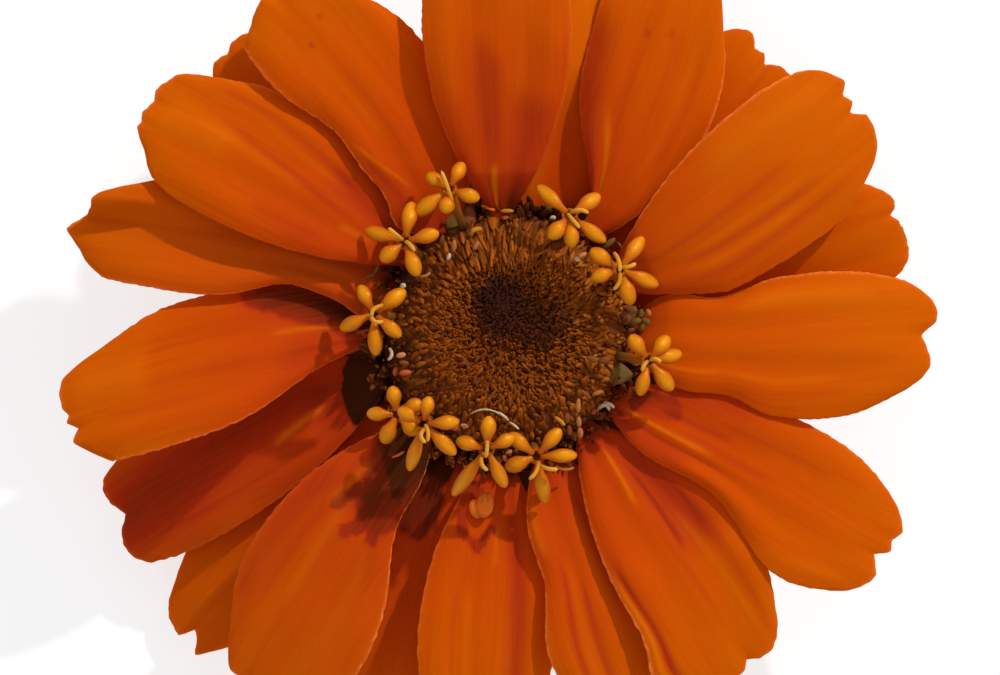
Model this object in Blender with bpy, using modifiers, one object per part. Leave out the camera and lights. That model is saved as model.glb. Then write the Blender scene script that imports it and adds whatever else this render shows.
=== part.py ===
# A zinnia bloom cut flush under its bracts and lying face up, with the rays seen in two layers.
# Lengths are in millimetres and angles in degrees; MM turns a length into scene units.
# Angles run anticlockwise from +X, seen from above, and z is 0 where the bloom rests.

import math
import random

import bmesh
import bpy
import numpy as np
from mathutils import Matrix, Vector

MM = 0.001

# Ray florets: where the claw starts, and what all the blades share
CLAW_RADIUS = 10.0
CLAW_SHARE = 0.17
WIDEST_AT = 0.66
SWELL_POWER = 2.3
TIP_NARROWING = 0.24
SHOULDER_DROP = 0.15
NOTCH_DEPTH = 0.035
NOTCH_PLACES = (-0.35, 0.35)
NOTCH_WIDTH = 0.3
BLADE_THICKNESS = 0.66
BLADE_ROWS = 9
BLADE_COLUMNS = 6
GROOVE_PITCH = 0.7
GROOVE_DEPTH = 0.17
MARGIN_CURL = 0.3
DROOP_POWER = 2.2
BASE_ROLL = 1.5
FULL_LIFT_AT = 0.12

# Each layer: height of the claw, how fast the blade climbs from it, and how far it droops by the tip
LAYERS = {
    "upper": {"claw": 9.9, "climb": 4.0, "droop": 4.6},
    "under": {"claw": 8.4, "climb": 2.6, "droop": 3.8},
}

# Each ray: layer, direction of its claw, reach from the axis, width, sideways sweep at the tip,
# height added to the blade, roll that lifts its anticlockwise edge, tilt that lifts its tip, and
# bulges of its two margins: side, -1 for the clockwise one, place along it, millimetres out, spread,
# and curls of its margins in the same way with millimetres up
RAYS = (
    ("upper", 91.5, 34.0, 11.8, 0.0, 2.6, 2.0, 10.5, (), ()),
    ("upper", 53.5, 33.8, 12.0, 6.2, 0.8, -3.0, 0.0, ((1, 0.13, -2.3, 0.17),), ()),
    ("upper", 26.0, 33.6, 12.2, 3.8, 2.1, 3.5, 0.0, ((-1, 0.95, 0.9, 0.2), (-1, 0.32, 0.4, 0.1)), ()),
    ("upper", -4.5, 34.6, 11.7, 2.2, 1.3, -4.0, 0.0,
        ((-1, 0.33, -1.0, 0.1), (1, 0.07, 1.6, 0.12), (1, 0.30, -0.6, 0.1)), ((1, 0.14, 0.4, 0.11),)),
    ("upper", -31.0, 35.2, 12.3, 0.5, 1.2, -8.0, 1.0, ((-1, 0.42, -3.2, 0.24),), ()),
    ("upper", -50.0, 33.5, 11.6, -2.0, 0.8, -9.0, 2.0, ((-1, 0.88, 1.6, 0.13),), ((1, 0.75, 0.7, 0.3),)),
    ("upper", -71.0, 33.0, 10.8, 0.4, 0.3, -9.0, 2.0, ((-1, 0.43, -1.4, 0.17),), ()),
    ("upper", -93.5, 33.0, 10.9, 0.0, -0.1, -8.0, 3.0, (), ()),
    ("upper", -131.0, 35.0, 12.4, 3.4, 1.4, 4.0, -2.0, ((1, 0.30, -1.9, 0.17), (1, 0.75, 0.4, 0.15)), ()),
    ("upper", -162.0, 35.1, 11.6, 4.2, -1.8, 10.0, -11.0, (), ()),
    ("upper", 179.5, 35.3, 11.2, 6.0, 0.5, 11.0, 7.8, ((1, 0.18, -1.4, 0.17), (-1, 0.28, 0.8, 0.15)), ()),
    ("upper", 156.2, 35.3, 9.7, 5.0, 0.5, 9.0, 5.0, ((1, 0.0, 2.2, 0.1), (1, 0.30, -1.5, 0.13)),
        ((-1, 0.92, 3.75, 0.2),)),
    ("upper", 141.0, 33.4, 11.6, 3.4, 1.6, 11.0, 10.5, (), ()),
    ("upper", 113.5, 33.2, 11.9, 5.3, 1.4, 8.0, 9.4, ((1, 0.04, 2.4, 0.1), (1, 0.44, -1.3, 0.15)), ()),
    ("under", 78.5, 33.0, 11.0, 0.0, 0.0, 0.0, 2.0, ((-1, 0.08, 1.9, 0.15),), ()),
    ("under", 45.0, 31.5, 11.0, 1.0, 0.0, 0.0, 0.0, (), ()),
    ("under", 13.5, 33.0, 11.5, 1.0, 0.0, 0.0, 0.0, (), ()),
    ("under", -107.0, 33.0, 11.0, 0.0, 0.8, 0.0, -5.0, ((-1, 0.12, 1.2, 0.12),), ()),
    ("under", -143.0, 35.4, 11.0, 3.4, -1.2, 0.0, -9.0, (), ()),
    ("under", 130.5, 32.0, 11.0, 1.5, 0.0, 0.0, 5.0, (), ()),
)


# Disc: its outline from the middle of its foot to the pit, as radius and height
DISC_PROFILE = (
    (0.0, 7.7), (9.2, 7.7), (9.7, 8.3), (9.7, 9.9), (9.3, 11.0), (8.3, 12.1),
    (7.0, 12.9), (5.6, 13.0), (4.4, 12.2), (3.5, 10.8), (2.4, 9.7), (0.0, 9.2),
)
DISC_SIDES = 30
CROWN_OFFSET = (0.5, 0.3)
PIT_OFFSET = (-0.5, 1.6)
CROWN_RISE = 2.2
CHAFF_COUNT = 96
CHAFF_RADII = (3.0, 8.0)
CHAFF_LENGTH = 3.4
CHAFF_WIDTH = 0.62
CHAFF_SUNK = 1.1
CHAFF_LEAN = (0.70, 0.15)
CHAFF_TIP_SHARE = 0.3
GOLDEN_ANGLE = 137.508

# Unopened florets on the disc's shoulder, by direction
BUD_DIRECTIONS = (80, 89, 98, 188, 198, -60, -51, -42, -33, -24)
BUD_RADIUS = 8.8
BUD_HEIGHT = 4.2
BUD_WIDTH = 0.55
BUD_LEAN = 0.25
BUD_TIP_SHARE = 0.75

# Open disc florets: direction and distance of the star's middle from the axis, its height, and spin
STARS = (
    (111.1, 12.3, 15.2, 63.0),
    (137.1, 10.8, 15.4, 9.0),
    (170.8, 10.5, 15.2, 46.0),
    (216.5, 10.6, 13.6, 28.0),
    (227.5, 9.5, 16.4, 10.0),
    (260.9, 9.1, 15.9, 17.0),
    (284.5, 9.9, 14.7, 62.0),
    (349.7, 11.5, 15.0, 36.0),
    (29.7, 10.4, 15.4, 56.0),
    (61.5, 10.7, 15.6, 41.0),
)
LOBE_REACH = 3.0
LOBE_NOTCH = 1.0
LOBE_SIDE = 2.05
STAR_SIDES = 20
STAR_FOOT_RADIUS = 8.8
STAR_FOOT_GAP = 0.85
STAR_LEAN = 0.35
THROAT_RISE = 0.25
# Rings of a star from the foot of its tube to its throat: place along the tube, where past 1 is above
# its end, share of the lobed outline, and radius of the round part
STAR_RINGS = (
    (0.0, 0.0, 0.34),
    (0.55, 0.0, 0.42),
    (0.86, 0.35, 0.55),
    (1.0, 1.0, 0.0),
    (1.14, 0.62, 0.0),
)

# Involucre: its outline from the middle of the cut spot to the middle of its top
CUP_PROFILE = (
    (0.0, 0.0), (3.2, 0.0), (5.6, 0.8), (7.8, 2.2), (9.3, 4.2), (10.0, 6.2),
    (10.0, 7.1), (9.6, 7.4), (0.0, 7.4),
)
CUP_SIDES = 28
# Each row of bracts: how many, height of the middle, width and length
BRACT_ROWS = (
    (9, 1.9, 4.8, 4.6),
    (12, 3.5, 5.0, 5.0),
    (14, 5.1, 5.0, 4.8),
)
BRACT_THICKNESS = 1.3
BRACT_LEAN = 9.0

COLOURS = {
    "ray": ((0.60, 0.105, 0.003, 1.0), 0.55),
    "star": ((0.78, 0.30, 0.010, 1.0), 0.45),
    "disc": ((0.060, 0.018, 0.008, 1.0), 0.70),
    "bract": ((0.10, 0.17, 0.035, 1.0), 0.60),
}


def clear_scene():
    for item in list(bpy.data.objects):
        bpy.data.objects.remove(item, do_unlink=True)


def collection(name):
    made = bpy.data.collections.new(name)
    bpy.context.scene.collection.children.link(made)
    return made


def material(name):
    colour, roughness = COLOURS[name]
    made = bpy.data.materials.new(name)
    made.use_nodes = True
    shader = made.node_tree.nodes["Principled BSDF"]
    shader.inputs["Base Color"].default_value = colour
    shader.inputs["Roughness"].default_value = roughness
    shader.inputs["Metallic"].default_value = 0.0
    return made


def object_from(mesh_builder, name, finish, home):
    mesh = bpy.data.meshes.new(name)
    mesh_builder.to_mesh(mesh)
    mesh_builder.free()
    mesh.materials.append(finish)
    made = bpy.data.objects.new(name, mesh)
    home.objects.link(made)
    return made


def in_metres(x, y, z):
    return Vector((x, y, z)) * MM


def blade_width(u):
    # Share of the full width along a blade: a claw, a quick swell, then a slight narrowing to the tip
    if u < WIDEST_AT:
        return CLAW_SHARE + (1.0 - CLAW_SHARE) * (1.0 - (1.0 - u / WIDEST_AT) ** SWELL_POWER)
    return 1.0 - TIP_NARROWING * ((u - WIDEST_AT) / (1.0 - WIDEST_AT)) ** 2


def blade_point(u, v, ray, notches):
    # u runs from claw to tip and v from the clockwise edge, -1, to the other edge, 1
    layer, direction, reach, width, sweep, lift, roll, tilt, bulges, curls = ray
    shape = LAYERS[layer]
    notch = sum(NOTCH_DEPTH * deep * max(0.0, 1.0 - abs(v - place) / NOTCH_WIDTH) for place, deep in notches)
    shortening = SHOULDER_DROP * abs(v) ** 3 * u ** 3 + notch * u ** 8
    along = CLAW_RADIUS + (reach - CLAW_RADIUS) * u * (1.0 - shortening)
    half = 0.5 * width * blade_width(u)
    for side, place, out, spread in bulges:
        if side * v > 0.0:
            half += out * math.exp(-((u - place) / spread) ** 2)
    from_rib = v * half
    across = from_rib + sweep * 0.5 * u * (1.0 + u)
    # The grooves fade at the claw and at the tip
    fade = math.sin(math.pi * min(1.0, u + 0.08)) ** 0.5
    grooves = GROOVE_DEPTH * math.cos(2.0 * math.pi * v / GROOVE_PITCH) - MARGIN_CURL * v ** 6
    height = shape["claw"] + shape["climb"] * u - shape["droop"] * u ** DROOP_POWER
    height += lift * (0.5 + 0.5 * min(1.0, u / FULL_LIFT_AT)) + fade * grooves
    height += (along - CLAW_RADIUS) * math.tan(math.radians(tilt))
    height += from_rib * math.tan(math.radians(roll)) * (1.0 + BASE_ROLL * (1.0 - u) ** 4)
    for side, place, up, spread in curls:
        if side * v > 0.0:
            height += up * abs(v) ** 1.5 * math.exp(-((u - place) / spread) ** 2)
    turn = math.radians(direction)
    x = along * math.cos(turn) - across * math.sin(turn)
    y = along * math.sin(turn) + across * math.cos(turn)
    return in_metres(x, y, height)


def build_ray(ray, name, finish, home, rng):
    # An open waved sheet, split alike all over, that Solidify gives its thickness
    notches = [(place, rng.uniform(0.6, 1.4)) for place in NOTCH_PLACES]
    sheet = bmesh.new()
    bmesh.ops.create_grid(sheet, x_segments=BLADE_ROWS, y_segments=BLADE_COLUMNS, size=1.0)
    for point in sheet.verts:
        u = 0.5 * (point.co.x + 1.0)
        v = point.co.y
        point.co = blade_point(u, v, ray, notches)
    bmesh.ops.triangulate(sheet, faces=sheet.faces[:], quad_method="FIXED")
    made = object_from(sheet, name, finish, home)
    shell = made.modifiers.new("thickness", "SOLIDIFY")
    shell.thickness = BLADE_THICKNESS * MM
    shell.offset = 0.0
    return made


def build_rays(home):
    finish = material("ray")
    rng = random.Random(4)
    counts = {"upper": 0, "under": 0}
    for ray in RAYS:
        layer = ray[0]
        counts[layer] += 1
        build_ray(ray, f"ray_{layer}_{counts[layer]:02d}", finish, home, rng)


def disc_shift(radius, height):
    # The crown leans off the axis a little, and the pit further
    wall_top = DISC_PROFILE[3][1]
    crown = DISC_PROFILE[7][0]
    rise = max(0.0, min(1.0, (height - wall_top) / CROWN_RISE)) if radius > crown else 1.0
    sink = max(0.0, 1.0 - radius / crown)
    return [rise * lean + sink * pit for lean, pit in zip(CROWN_OFFSET, PIT_OFFSET)]


def no_shift(radius, height):
    return [0.0, 0.0]


def turned(profile, sides, shift):
    # A sphere's rings moved onto the profile, foot to top
    body = bmesh.new()
    rings = len(profile) - 1
    bmesh.ops.create_uvsphere(body, u_segments=sides, v_segments=rings, radius=1.0)
    for point in body.verts:
        latitude = math.asin(max(-1.0, min(1.0, point.co.z)))
        step = round((latitude / math.pi + 0.5) * rings)
        radius, height = profile[step]
        turn = math.atan2(point.co.y, point.co.x)
        side, forward = shift(radius, height)
        point.co = in_metres(radius * math.cos(turn) + side, radius * math.sin(turn) + forward, height)
    return body


def surface_height(radius):
    # Height of the disc's upper side at a radius, before it leans
    wall = max(range(len(DISC_PROFILE)), key=lambda place: DISC_PROFILE[place][0])
    upper = DISC_PROFILE[wall:][::-1]
    return float(np.interp(radius, [place[0] for place in upper], [place[1] for place in upper]))


def disc_height(x, y):
    # Height of the leaning disc at a place, found in a few steps because the lean depends on the height
    side, forward = 0.0, 0.0
    for step in range(4):
        radius = math.hypot(x - side, y - forward)
        height = surface_height(radius)
        side, forward = disc_shift(radius, height)
    return height


def add_spike(home, finish, foot, heading, length, width, tip_share, sides):
    # A slim tapered rod from its foot along its heading
    spike = bmesh.new()
    bmesh.ops.create_cone(spike, cap_ends=True, segments=sides, radius1=width * MM,
                          radius2=width * tip_share * MM, depth=length * MM)
    axis = Vector(heading).normalized()
    middle = Vector(foot) * MM + axis * (0.5 * length * MM)
    place = Matrix.Translation(middle) @ axis.to_track_quat("Z", "Y").to_matrix().to_4x4()
    spike.transform(place)
    return object_from(spike, "repeat", finish, home)


def islands(mesh_builder):
    # Lists of faces that hang together
    left = set(mesh_builder.faces)
    found = []
    while left:
        start = left.pop()
        group = [start]
        waiting = [start]
        while waiting:
            for edge in waiting.pop().edges:
                for face in edge.link_faces:
                    if face in left:
                        left.remove(face)
                        group.append(face)
                        waiting.append(face)
        found.append(group)
    return found


def keep_outer_skin(mesh):
    # Hollows that the union sealed are filled, and loose scraps are dropped
    whole = bmesh.new()
    whole.from_mesh(mesh)
    groups = sorted(islands(whole), key=len)
    for group in groups[:-1]:
        bmesh.ops.delete(whole, geom=group, context="FACES")
    whole.to_mesh(mesh)
    whole.free()


def join_repeats(body, repeats):
    # One union on the collection, applied, with the repeats removed afterwards
    union = body.modifiers.new("join", "BOOLEAN")
    union.operation = "UNION"
    union.operand_type = "COLLECTION"
    union.collection = repeats
    union.solver = "MANIFOLD"
    finish = body.data.materials[0]
    graph = bpy.context.evaluated_depsgraph_get()
    joined = bpy.data.meshes.new_from_object(body.evaluated_get(graph))
    keep_outer_skin(joined)
    body.modifiers.clear()
    body.data = joined
    body.data.materials.clear()
    body.data.materials.append(finish)
    for item in list(repeats.objects):
        bpy.data.objects.remove(item, do_unlink=True)
    bpy.data.collections.remove(repeats)


def build_disc(home):
    finish = material("disc")
    body = object_from(turned(DISC_PROFILE, DISC_SIDES, disc_shift), "disc", finish, home)
    repeats = collection("disc_repeats")
    inner, outer = CHAFF_RADII
    for count in range(CHAFF_COUNT):
        share = (count + 0.5) / CHAFF_COUNT
        radius = math.sqrt(inner ** 2 + share * (outer ** 2 - inner ** 2))
        turn = math.radians(GOLDEN_ANGLE * count)
        level = surface_height(radius)
        side, forward = disc_shift(radius, level)
        foot = Vector((radius * math.cos(turn) + side, radius * math.sin(turn) + forward, level))
        inward = CHAFF_LEAN[0] + share * (CHAFF_LEAN[1] - CHAFF_LEAN[0])
        heading = Vector((-inward * math.cos(turn), -inward * math.sin(turn), 1.0)).normalized()
        foot -= heading * CHAFF_SUNK
        add_spike(repeats, finish, foot, heading, CHAFF_LENGTH, CHAFF_WIDTH, CHAFF_TIP_SHARE, 4)
    for direction in BUD_DIRECTIONS:
        turn = math.radians(direction)
        foot_x, foot_y = BUD_RADIUS * math.cos(turn), BUD_RADIUS * math.sin(turn)
        foot = Vector((foot_x, foot_y, disc_height(foot_x, foot_y) - CHAFF_SUNK))
        heading = Vector((BUD_LEAN * math.cos(turn), BUD_LEAN * math.sin(turn), 1.0))
        add_spike(repeats, finish, foot, heading, BUD_HEIGHT, BUD_WIDTH, BUD_TIP_SHARE, 6)
    join_repeats(body, repeats)


def star_outline(turn):
    # Radius of the five-lobed outline: lobe tip, lobe side, notch, lobe side
    step = round(turn / (2.0 * math.pi) * STAR_SIDES) % 4
    return (LOBE_REACH, LOBE_SIDE, LOBE_NOTCH, LOBE_SIDE)[step]


def build_star(star, name, finish, home):
    # A loft from the round foot of the tube to the star, closed over the throat
    direction, radius, height, spin = star
    turn = math.radians(direction)
    middle = Vector((radius * math.cos(turn), radius * math.sin(turn), height))
    foot_x, foot_y = STAR_FOOT_RADIUS * math.cos(turn), STAR_FOOT_RADIUS * math.sin(turn)
    foot = Vector((foot_x, foot_y, disc_height(foot_x, foot_y) + STAR_FOOT_GAP))
    axis = middle - foot
    upright = Vector((0.0, 0.0, 1.0))
    frame = upright.rotation_difference(Vector((STAR_LEAN * math.cos(turn), STAR_LEAN * math.sin(turn), 1.0)))
    loft = bmesh.new()
    rings = []
    for share, star_share, round_radius in STAR_RINGS:
        ring = []
        for side in range(STAR_SIDES):
            angle = 2.0 * math.pi * side / STAR_SIDES
            reach = max(round_radius, star_share * star_outline(angle))
            spun = angle + math.radians(spin)
            offset = frame @ Vector((reach * math.cos(spun), reach * math.sin(spun), 0.0))
            if share <= 1.0:
                place = foot + axis * share
            else:
                place = middle + frame @ Vector((0.0, 0.0, (share - 1.0) * axis.length))
            ring.append(loft.verts.new((place + offset) * MM))
        rings.append(ring)
    throat = loft.verts.new((middle + frame @ Vector((0.0, 0.0, THROAT_RISE))) * MM)
    for low, high in zip(rings, rings[1:]):
        for side in range(STAR_SIDES):
            after = (side + 1) % STAR_SIDES
            loft.faces.new((low[side], low[after], high[after], high[side]))
    for side in range(STAR_SIDES):
        loft.faces.new((rings[-1][side], rings[-1][(side + 1) % STAR_SIDES], throat))
    loft.faces.new(rings[0][::-1])
    bmesh.ops.triangulate(loft, faces=loft.faces[:])
    return object_from(loft, name, finish, home)


def build_stars(home):
    finish = material("star")
    for count, star in enumerate(STARS, start=1):
        build_star(star, f"star_floret_{count:02d}", finish, home)


def cup_radius(height):
    lower = CUP_PROFILE[1:-2]
    return float(np.interp(height, [place[1] for place in lower], [place[0] for place in lower]))


def build_involucre(home):
    finish = material("bract")
    body = object_from(turned(CUP_PROFILE, CUP_SIDES, no_shift), "involucre", finish, home)
    repeats = collection("bract_repeats")
    for row, (count, height, width, length) in enumerate(BRACT_ROWS):
        slope = math.atan2(cup_radius(height + 0.5) - cup_radius(height - 0.5), 1.0)
        for place in range(count):
            turn = 2.0 * math.pi * (place + 0.5 * (row % 2)) / count
            bract = bmesh.new()
            bmesh.ops.create_uvsphere(bract, u_segments=6, v_segments=4, radius=0.5 * MM)
            bract.transform(Matrix.Diagonal((BRACT_THICKNESS, width, length, 1.0)))
            bract.transform(Matrix.Rotation(slope + math.radians(BRACT_LEAN), 4, "Y"))
            bract.transform(Matrix.Translation(in_metres(cup_radius(height), 0.0, height)))
            bract.transform(Matrix.Rotation(turn, 4, "Z"))
            object_from(bract, "repeat", finish, repeats)
    join_repeats(body, repeats)


def main():
    clear_scene()
    home = collection("zinnia_bloom")
    build_rays(home)
    build_disc(home)
    build_stars(home)
    build_involucre(home)


main()
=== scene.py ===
import math

import bpy
import numpy as np
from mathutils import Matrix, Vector


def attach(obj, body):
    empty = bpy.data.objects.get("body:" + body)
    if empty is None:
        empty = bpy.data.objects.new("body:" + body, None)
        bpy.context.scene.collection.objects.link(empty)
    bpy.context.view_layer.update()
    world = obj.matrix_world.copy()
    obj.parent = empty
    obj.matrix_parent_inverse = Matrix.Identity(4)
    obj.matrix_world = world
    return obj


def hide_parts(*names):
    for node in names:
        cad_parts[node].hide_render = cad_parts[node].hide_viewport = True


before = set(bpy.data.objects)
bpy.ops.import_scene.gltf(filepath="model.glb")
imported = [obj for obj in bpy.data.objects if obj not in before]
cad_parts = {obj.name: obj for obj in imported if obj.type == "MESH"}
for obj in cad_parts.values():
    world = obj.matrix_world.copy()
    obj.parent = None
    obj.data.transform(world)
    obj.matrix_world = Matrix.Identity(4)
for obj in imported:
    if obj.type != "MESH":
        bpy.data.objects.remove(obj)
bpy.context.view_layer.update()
print("frame loaded with", len(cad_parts), "nodes")

# Lengths below are millimetres and angles are degrees, anticlockwise from +X seen from above.
# Colours are linear red, green and blue.
mm = 0.001
fullTurn = 2.0 * math.pi
goldenAngle = 137.508


class Values(dict):
    # A dictionary whose entries also read as names after a dot
    __getattr__ = dict.__getitem__


def cosine(angle):
    return np.cos(np.radians(angle))


def sine(angle):
    return np.sin(np.radians(angle))


def turned(along, across, direction):
    # x and y of a place along a direction and to the left of it
    x = along * cosine(direction) - across * sine(direction)
    return x, along * sine(direction) + across * cosine(direction)


def held(x):
    return np.clip(x, 0.0, 1.0)


def ease(x):
    # Smooth step: 3x² - 2x³ with x held between 0 and 1
    x = held(x)
    return x * x * (3.0 - 2.0 * x)


def bump(x, middle, width):
    # A bell of height 1: e to the minus ((x - middle) / width) squared
    return np.exp(-((x - middle) / width) ** 2)


def even(count, low=0.0, high=1.0):
    return np.linspace(low, high, count)


def around(count, whole=360.0):
    return np.linspace(0.0, whole, count, endpoint=False)


def grid(u, v):
    return np.meshgrid(u, v, indexing="ij")


def unit(vectors):
    return vectors / np.maximum(np.linalg.norm(vectors, axis=-1, keepdims=True), 1e-9)


def stack(x, y, z):
    return np.stack(np.broadcast_arrays(x, y, z), axis=-1)


def ripple(rng, x, y, longest, shortest, terms=7):
    # Seeded unevenness of about -1 to 1: a sum of sines over x and y in drawn directions, whose
    # wavelengths fall from the longest to the shortest and whose heights fall as their root
    total = 0.0
    weight = 0.0
    for term in range(terms):
        length = longest * (shortest / longest) ** (term / (terms - 1))
        heading, phase = rng.uniform(0.0, fullTurn, 2)
        height = (length / longest) ** 0.5
        wave = fullTurn * (x * math.cos(heading) + y * math.sin(heading)) / length
        total = total + height * np.sin(wave + phase)
        weight += height
    return 1.6 * total / weight


def skinFaces(rings, sides):
    # Quads between neighbouring rings, and both end rings zipped shut across themselves
    ring = np.arange(rings - 1)[:, None] * sides
    side = np.arange(sides)[None, :]
    after = (side + 1) % sides
    wall = np.stack([ring + side, ring + after, ring + sides + after, ring + sides + side], axis=-1)
    near = np.arange(sides // 2 - 1)
    cap = np.stack([near, near + 1, sides - 2 - near, sides - 1 - near], axis=-1)
    return np.concatenate([wall.reshape(-1, 4), cap[:, ::-1], cap + (rings - 1) * sides])


def isInsideOut(points, faces):
    # The volume that the faces close in is a sixth of the sum of their corners' box products
    a, b, c, d = (points[faces[:, corner]] - points.mean(0) for corner in range(4))
    return np.einsum("ij,ij->", a, np.cross(b, c)) + np.einsum("ij,ij->", a, np.cross(c, d)) < 0.0


def skinOf(points, tone, finish=0):
    # A skin holds points (copies, rings, sides, 3), a finish number and its traits by name
    return Values(points=points, finish=finish, traits={"tone": np.broadcast_to(tone, points.shape)})


def addToScene(name, data):
    made = bpy.data.objects.new(name, data)
    bpy.context.scene.collection.objects.link(made)
    return made


def makePiece(name, skins, finishes, slotName, *nodes):
    # One mesh of all the skins, whose traits it keeps on its points
    faces, marks = [], []
    count = 0
    for skin in skins:
        copies, rings, sides, _ = skin.points.shape
        pattern = skinFaces(rings, sides)
        if isInsideOut(skin.points[0].reshape(-1, 3), pattern):
            pattern = pattern[:, ::-1]
        start = count + np.arange(copies)[:, None, None] * rings * sides
        faces.append((pattern[None] + start).reshape(-1, 4))
        marks.append(np.resize(skin.finish, (copies, len(pattern))).ravel())
        count += copies * rings * sides
    faces = np.concatenate(faces)
    points = np.concatenate([skin.points.reshape(-1, 3) for skin in skins])
    mesh = bpy.data.meshes.new(name)
    mesh.vertices.add(count)
    mesh.vertices.foreach_set("co", (points * mm).astype(np.float32).ravel())
    mesh.loops.add(faces.size)
    mesh.loops.foreach_set("vertex_index", faces.astype(np.int32).ravel())
    mesh.polygons.add(len(faces))
    mesh.polygons.foreach_set("loop_start", np.arange(0, faces.size, 4, dtype=np.int32))
    for finish in finishes:
        mesh.materials.append(finish)
    mesh.polygons.foreach_set("material_index", np.concatenate(marks).astype(np.int32))
    mesh.polygons.foreach_set("use_smooth", np.ones(len(faces), bool))
    for trait in skins[0].traits:
        read = mesh.attributes.new(trait, "FLOAT_VECTOR", "POINT")
        values = np.concatenate([skin.traits[trait].reshape(-1, 3) for skin in skins])
        read.data.foreach_set("vector", values.astype(np.float32).ravel())
    mesh.update(calc_edges=True)
    mesh.validate()
    piece = addToScene(name, mesh)
    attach(piece, "root")
    if nodes:
        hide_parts(*nodes)


def sweep(path, sideways, halfWidth, halfDepth, sides, heading=None):
    # A ring round each point of a path: the point, plus half width times cosine along the side
    # direction, plus half depth times sine along the direction square to side and path
    if heading is None:
        heading = unit(np.gradient(path, axis=-2))
    across = unit(sideways - heading * np.sum(sideways * heading, axis=-1, keepdims=True))
    top = np.cross(heading, across)
    turn = around(sides, fullTurn)
    wide = np.multiply.outer(np.broadcast_to(halfWidth, path.shape[:-1]), np.cos(turn))[..., None]
    deep = np.multiply.outer(np.broadcast_to(halfDepth, path.shape[:-1]), np.sin(turn))[..., None]
    return path[..., None, :] + wide * across[..., None, :] + deep * top[..., None, :]


def bothSides(upper, under):
    # The upper side of a sheet and then its under side, which runs the other way
    return np.concatenate([upper, under[..., ::-1, :]], axis=-2)


def sheetPoints(middle, thickness):
    # Each side is half the thickness off the middle along the normal, which is the cross product of
    # the two directions of the grid
    normal = unit(np.cross(np.gradient(middle, axis=-3), np.gradient(middle, axis=-2)))
    offset = 0.5 * thickness[..., None] * normal
    return bothSides(middle + offset, middle - offset)[None]


def sheetSkin(middle, thickness, tone):
    return skinOf(sheetPoints(middle, thickness), bothSides(tone, tone))


def curveThrough(start, middle, end, steps):
    # Points of the parabola that starts at start, heads for middle and ends at end
    t = even(steps)[:, None]
    return (1.0 - t) ** 2 * np.array(start) + 2.0 * t * (1.0 - t) * np.array(middle) + t ** 2 * np.array(end)


def runOf(outline):
    # How far along an outline each of its corners lies
    return np.concatenate([[0.0], np.cumsum(np.linalg.norm(np.diff(outline, axis=0), axis=1))])


def lathe(shape):
    # Radius, height and turn of a grid over an outline at even steps, turned about the axis
    outline = np.array(shape.outline)
    run = runOf(outline)
    step = even(shape.rings, shape.inset, run[-1] - shape.inset)
    radius, height = np.interp(step, run, outline[:, 0]), np.interp(step, run, outline[:, 1])
    return np.broadcast_arrays(radius[:, None], height[:, None], around(shape.sides)[None, :])


class Finish:
    # A material under way, with the colour laid so far
    def __init__(self, name, roughness=0.5, specular=0.5, **settings):
        self.made = bpy.data.materials.new(name)
        self.made.use_nodes = True
        self.tree = self.made.node_tree
        self.shader = self.tree.nodes["Principled BSDF"]
        settings.update({"Roughness": roughness, "Specular IOR Level": specular})
        for key, value in settings.items():
            self.shader.inputs[key].default_value = value

    def add(self, kind, values={}, **settings):
        # Values are sockets, numbers, vectors or colours as linear triples
        made = self.tree.nodes.new(kind)
        for key, value in settings.items():
            setattr(made, key, value)
        for key, value in values.items():
            if isinstance(value, bpy.types.NodeSocket):
                self.tree.links.new(value, made.inputs[key])
            elif made.inputs[key].type == "RGBA":
                made.inputs[key].default_value = (*value, 1.0)
            else:
                made.inputs[key].default_value = value
        return made.outputs

    def trait(self, name):
        # The three parts of a vector kept on the mesh, and the vector itself
        vector = self.add("ShaderNodeAttribute", attribute_name=name)["Vector"]
        return *self.add("ShaderNodeSeparateXYZ", {0: vector}), vector

    def grain(self, stretch, detail=3.0, roughness=0.55, over=None):
        # Noise over a vector, or else over the place on the object, stretched by a factor each way
        over = over or self.add("ShaderNodeTexCoord")["Object"]
        scaled = self.add("ShaderNodeVectorMath", {0: over, 1: stretch}, operation="MULTIPLY")[0]
        values = {"Vector": scaled, "Scale": 1.0, "Detail": detail, "Roughness": roughness}
        return self.add("ShaderNodeTexNoise", values)["Fac"]

    def span(self, source, low, high, toLow=0.0, toHigh=1.0):
        # Maps low to high onto toLow to toHigh, and holds it there
        values = {"Value": source, "From Min": low, "From Max": high, "To Min": toLow, "To Max": toHigh}
        return self.add("ShaderNodeMapRange", values, clamp=True)["Result"]

    def times(self, first, second, operation="MULTIPLY"):
        return self.add("ShaderNodeMath", {0: first, 1: second}, operation=operation)[0]

    def mix(self, share, first, second, blend="MIX"):
        values = {0: share, 6: first, 7: second}
        return self.add("ShaderNodeMix", values, data_type="RGBA", blend_type=blend)[2]

    def lay(self, colour, mask, *reach, blend="MIX"):
        # Lays a colour over what is there by a mask, whose reach is mapped as by span if given
        share = self.span(mask, *reach) if reach else mask
        self.colour = self.mix(share, self.colour, colour, blend)

    def ramp(self, source, *stops):
        # Stops are a place and a colour each
        made = self.add("ShaderNodeValToRGB", {"Fac": source})["Color"]
        elements = made.node.color_ramp.elements
        for place, colour in stops[1:-1]:
            elements.new(place)
        for element, (place, colour) in zip(elements, stops):
            element.position = place
            element.color = (*colour, 1.0)
        self.colour = made

    def done(self, height, distance):
        # Raised by a height that is up to so many millimetres
        values = {"Distance": distance * mm, "Strength": 1.0, "Height": height}
        normal = self.add("ShaderNodeBump", values)["Normal"]
        self.tree.links.new(normal, self.shader.inputs["Normal"])
        self.tree.links.new(self.colour, self.shader.inputs["Base Color"])
        return self.made


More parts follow.
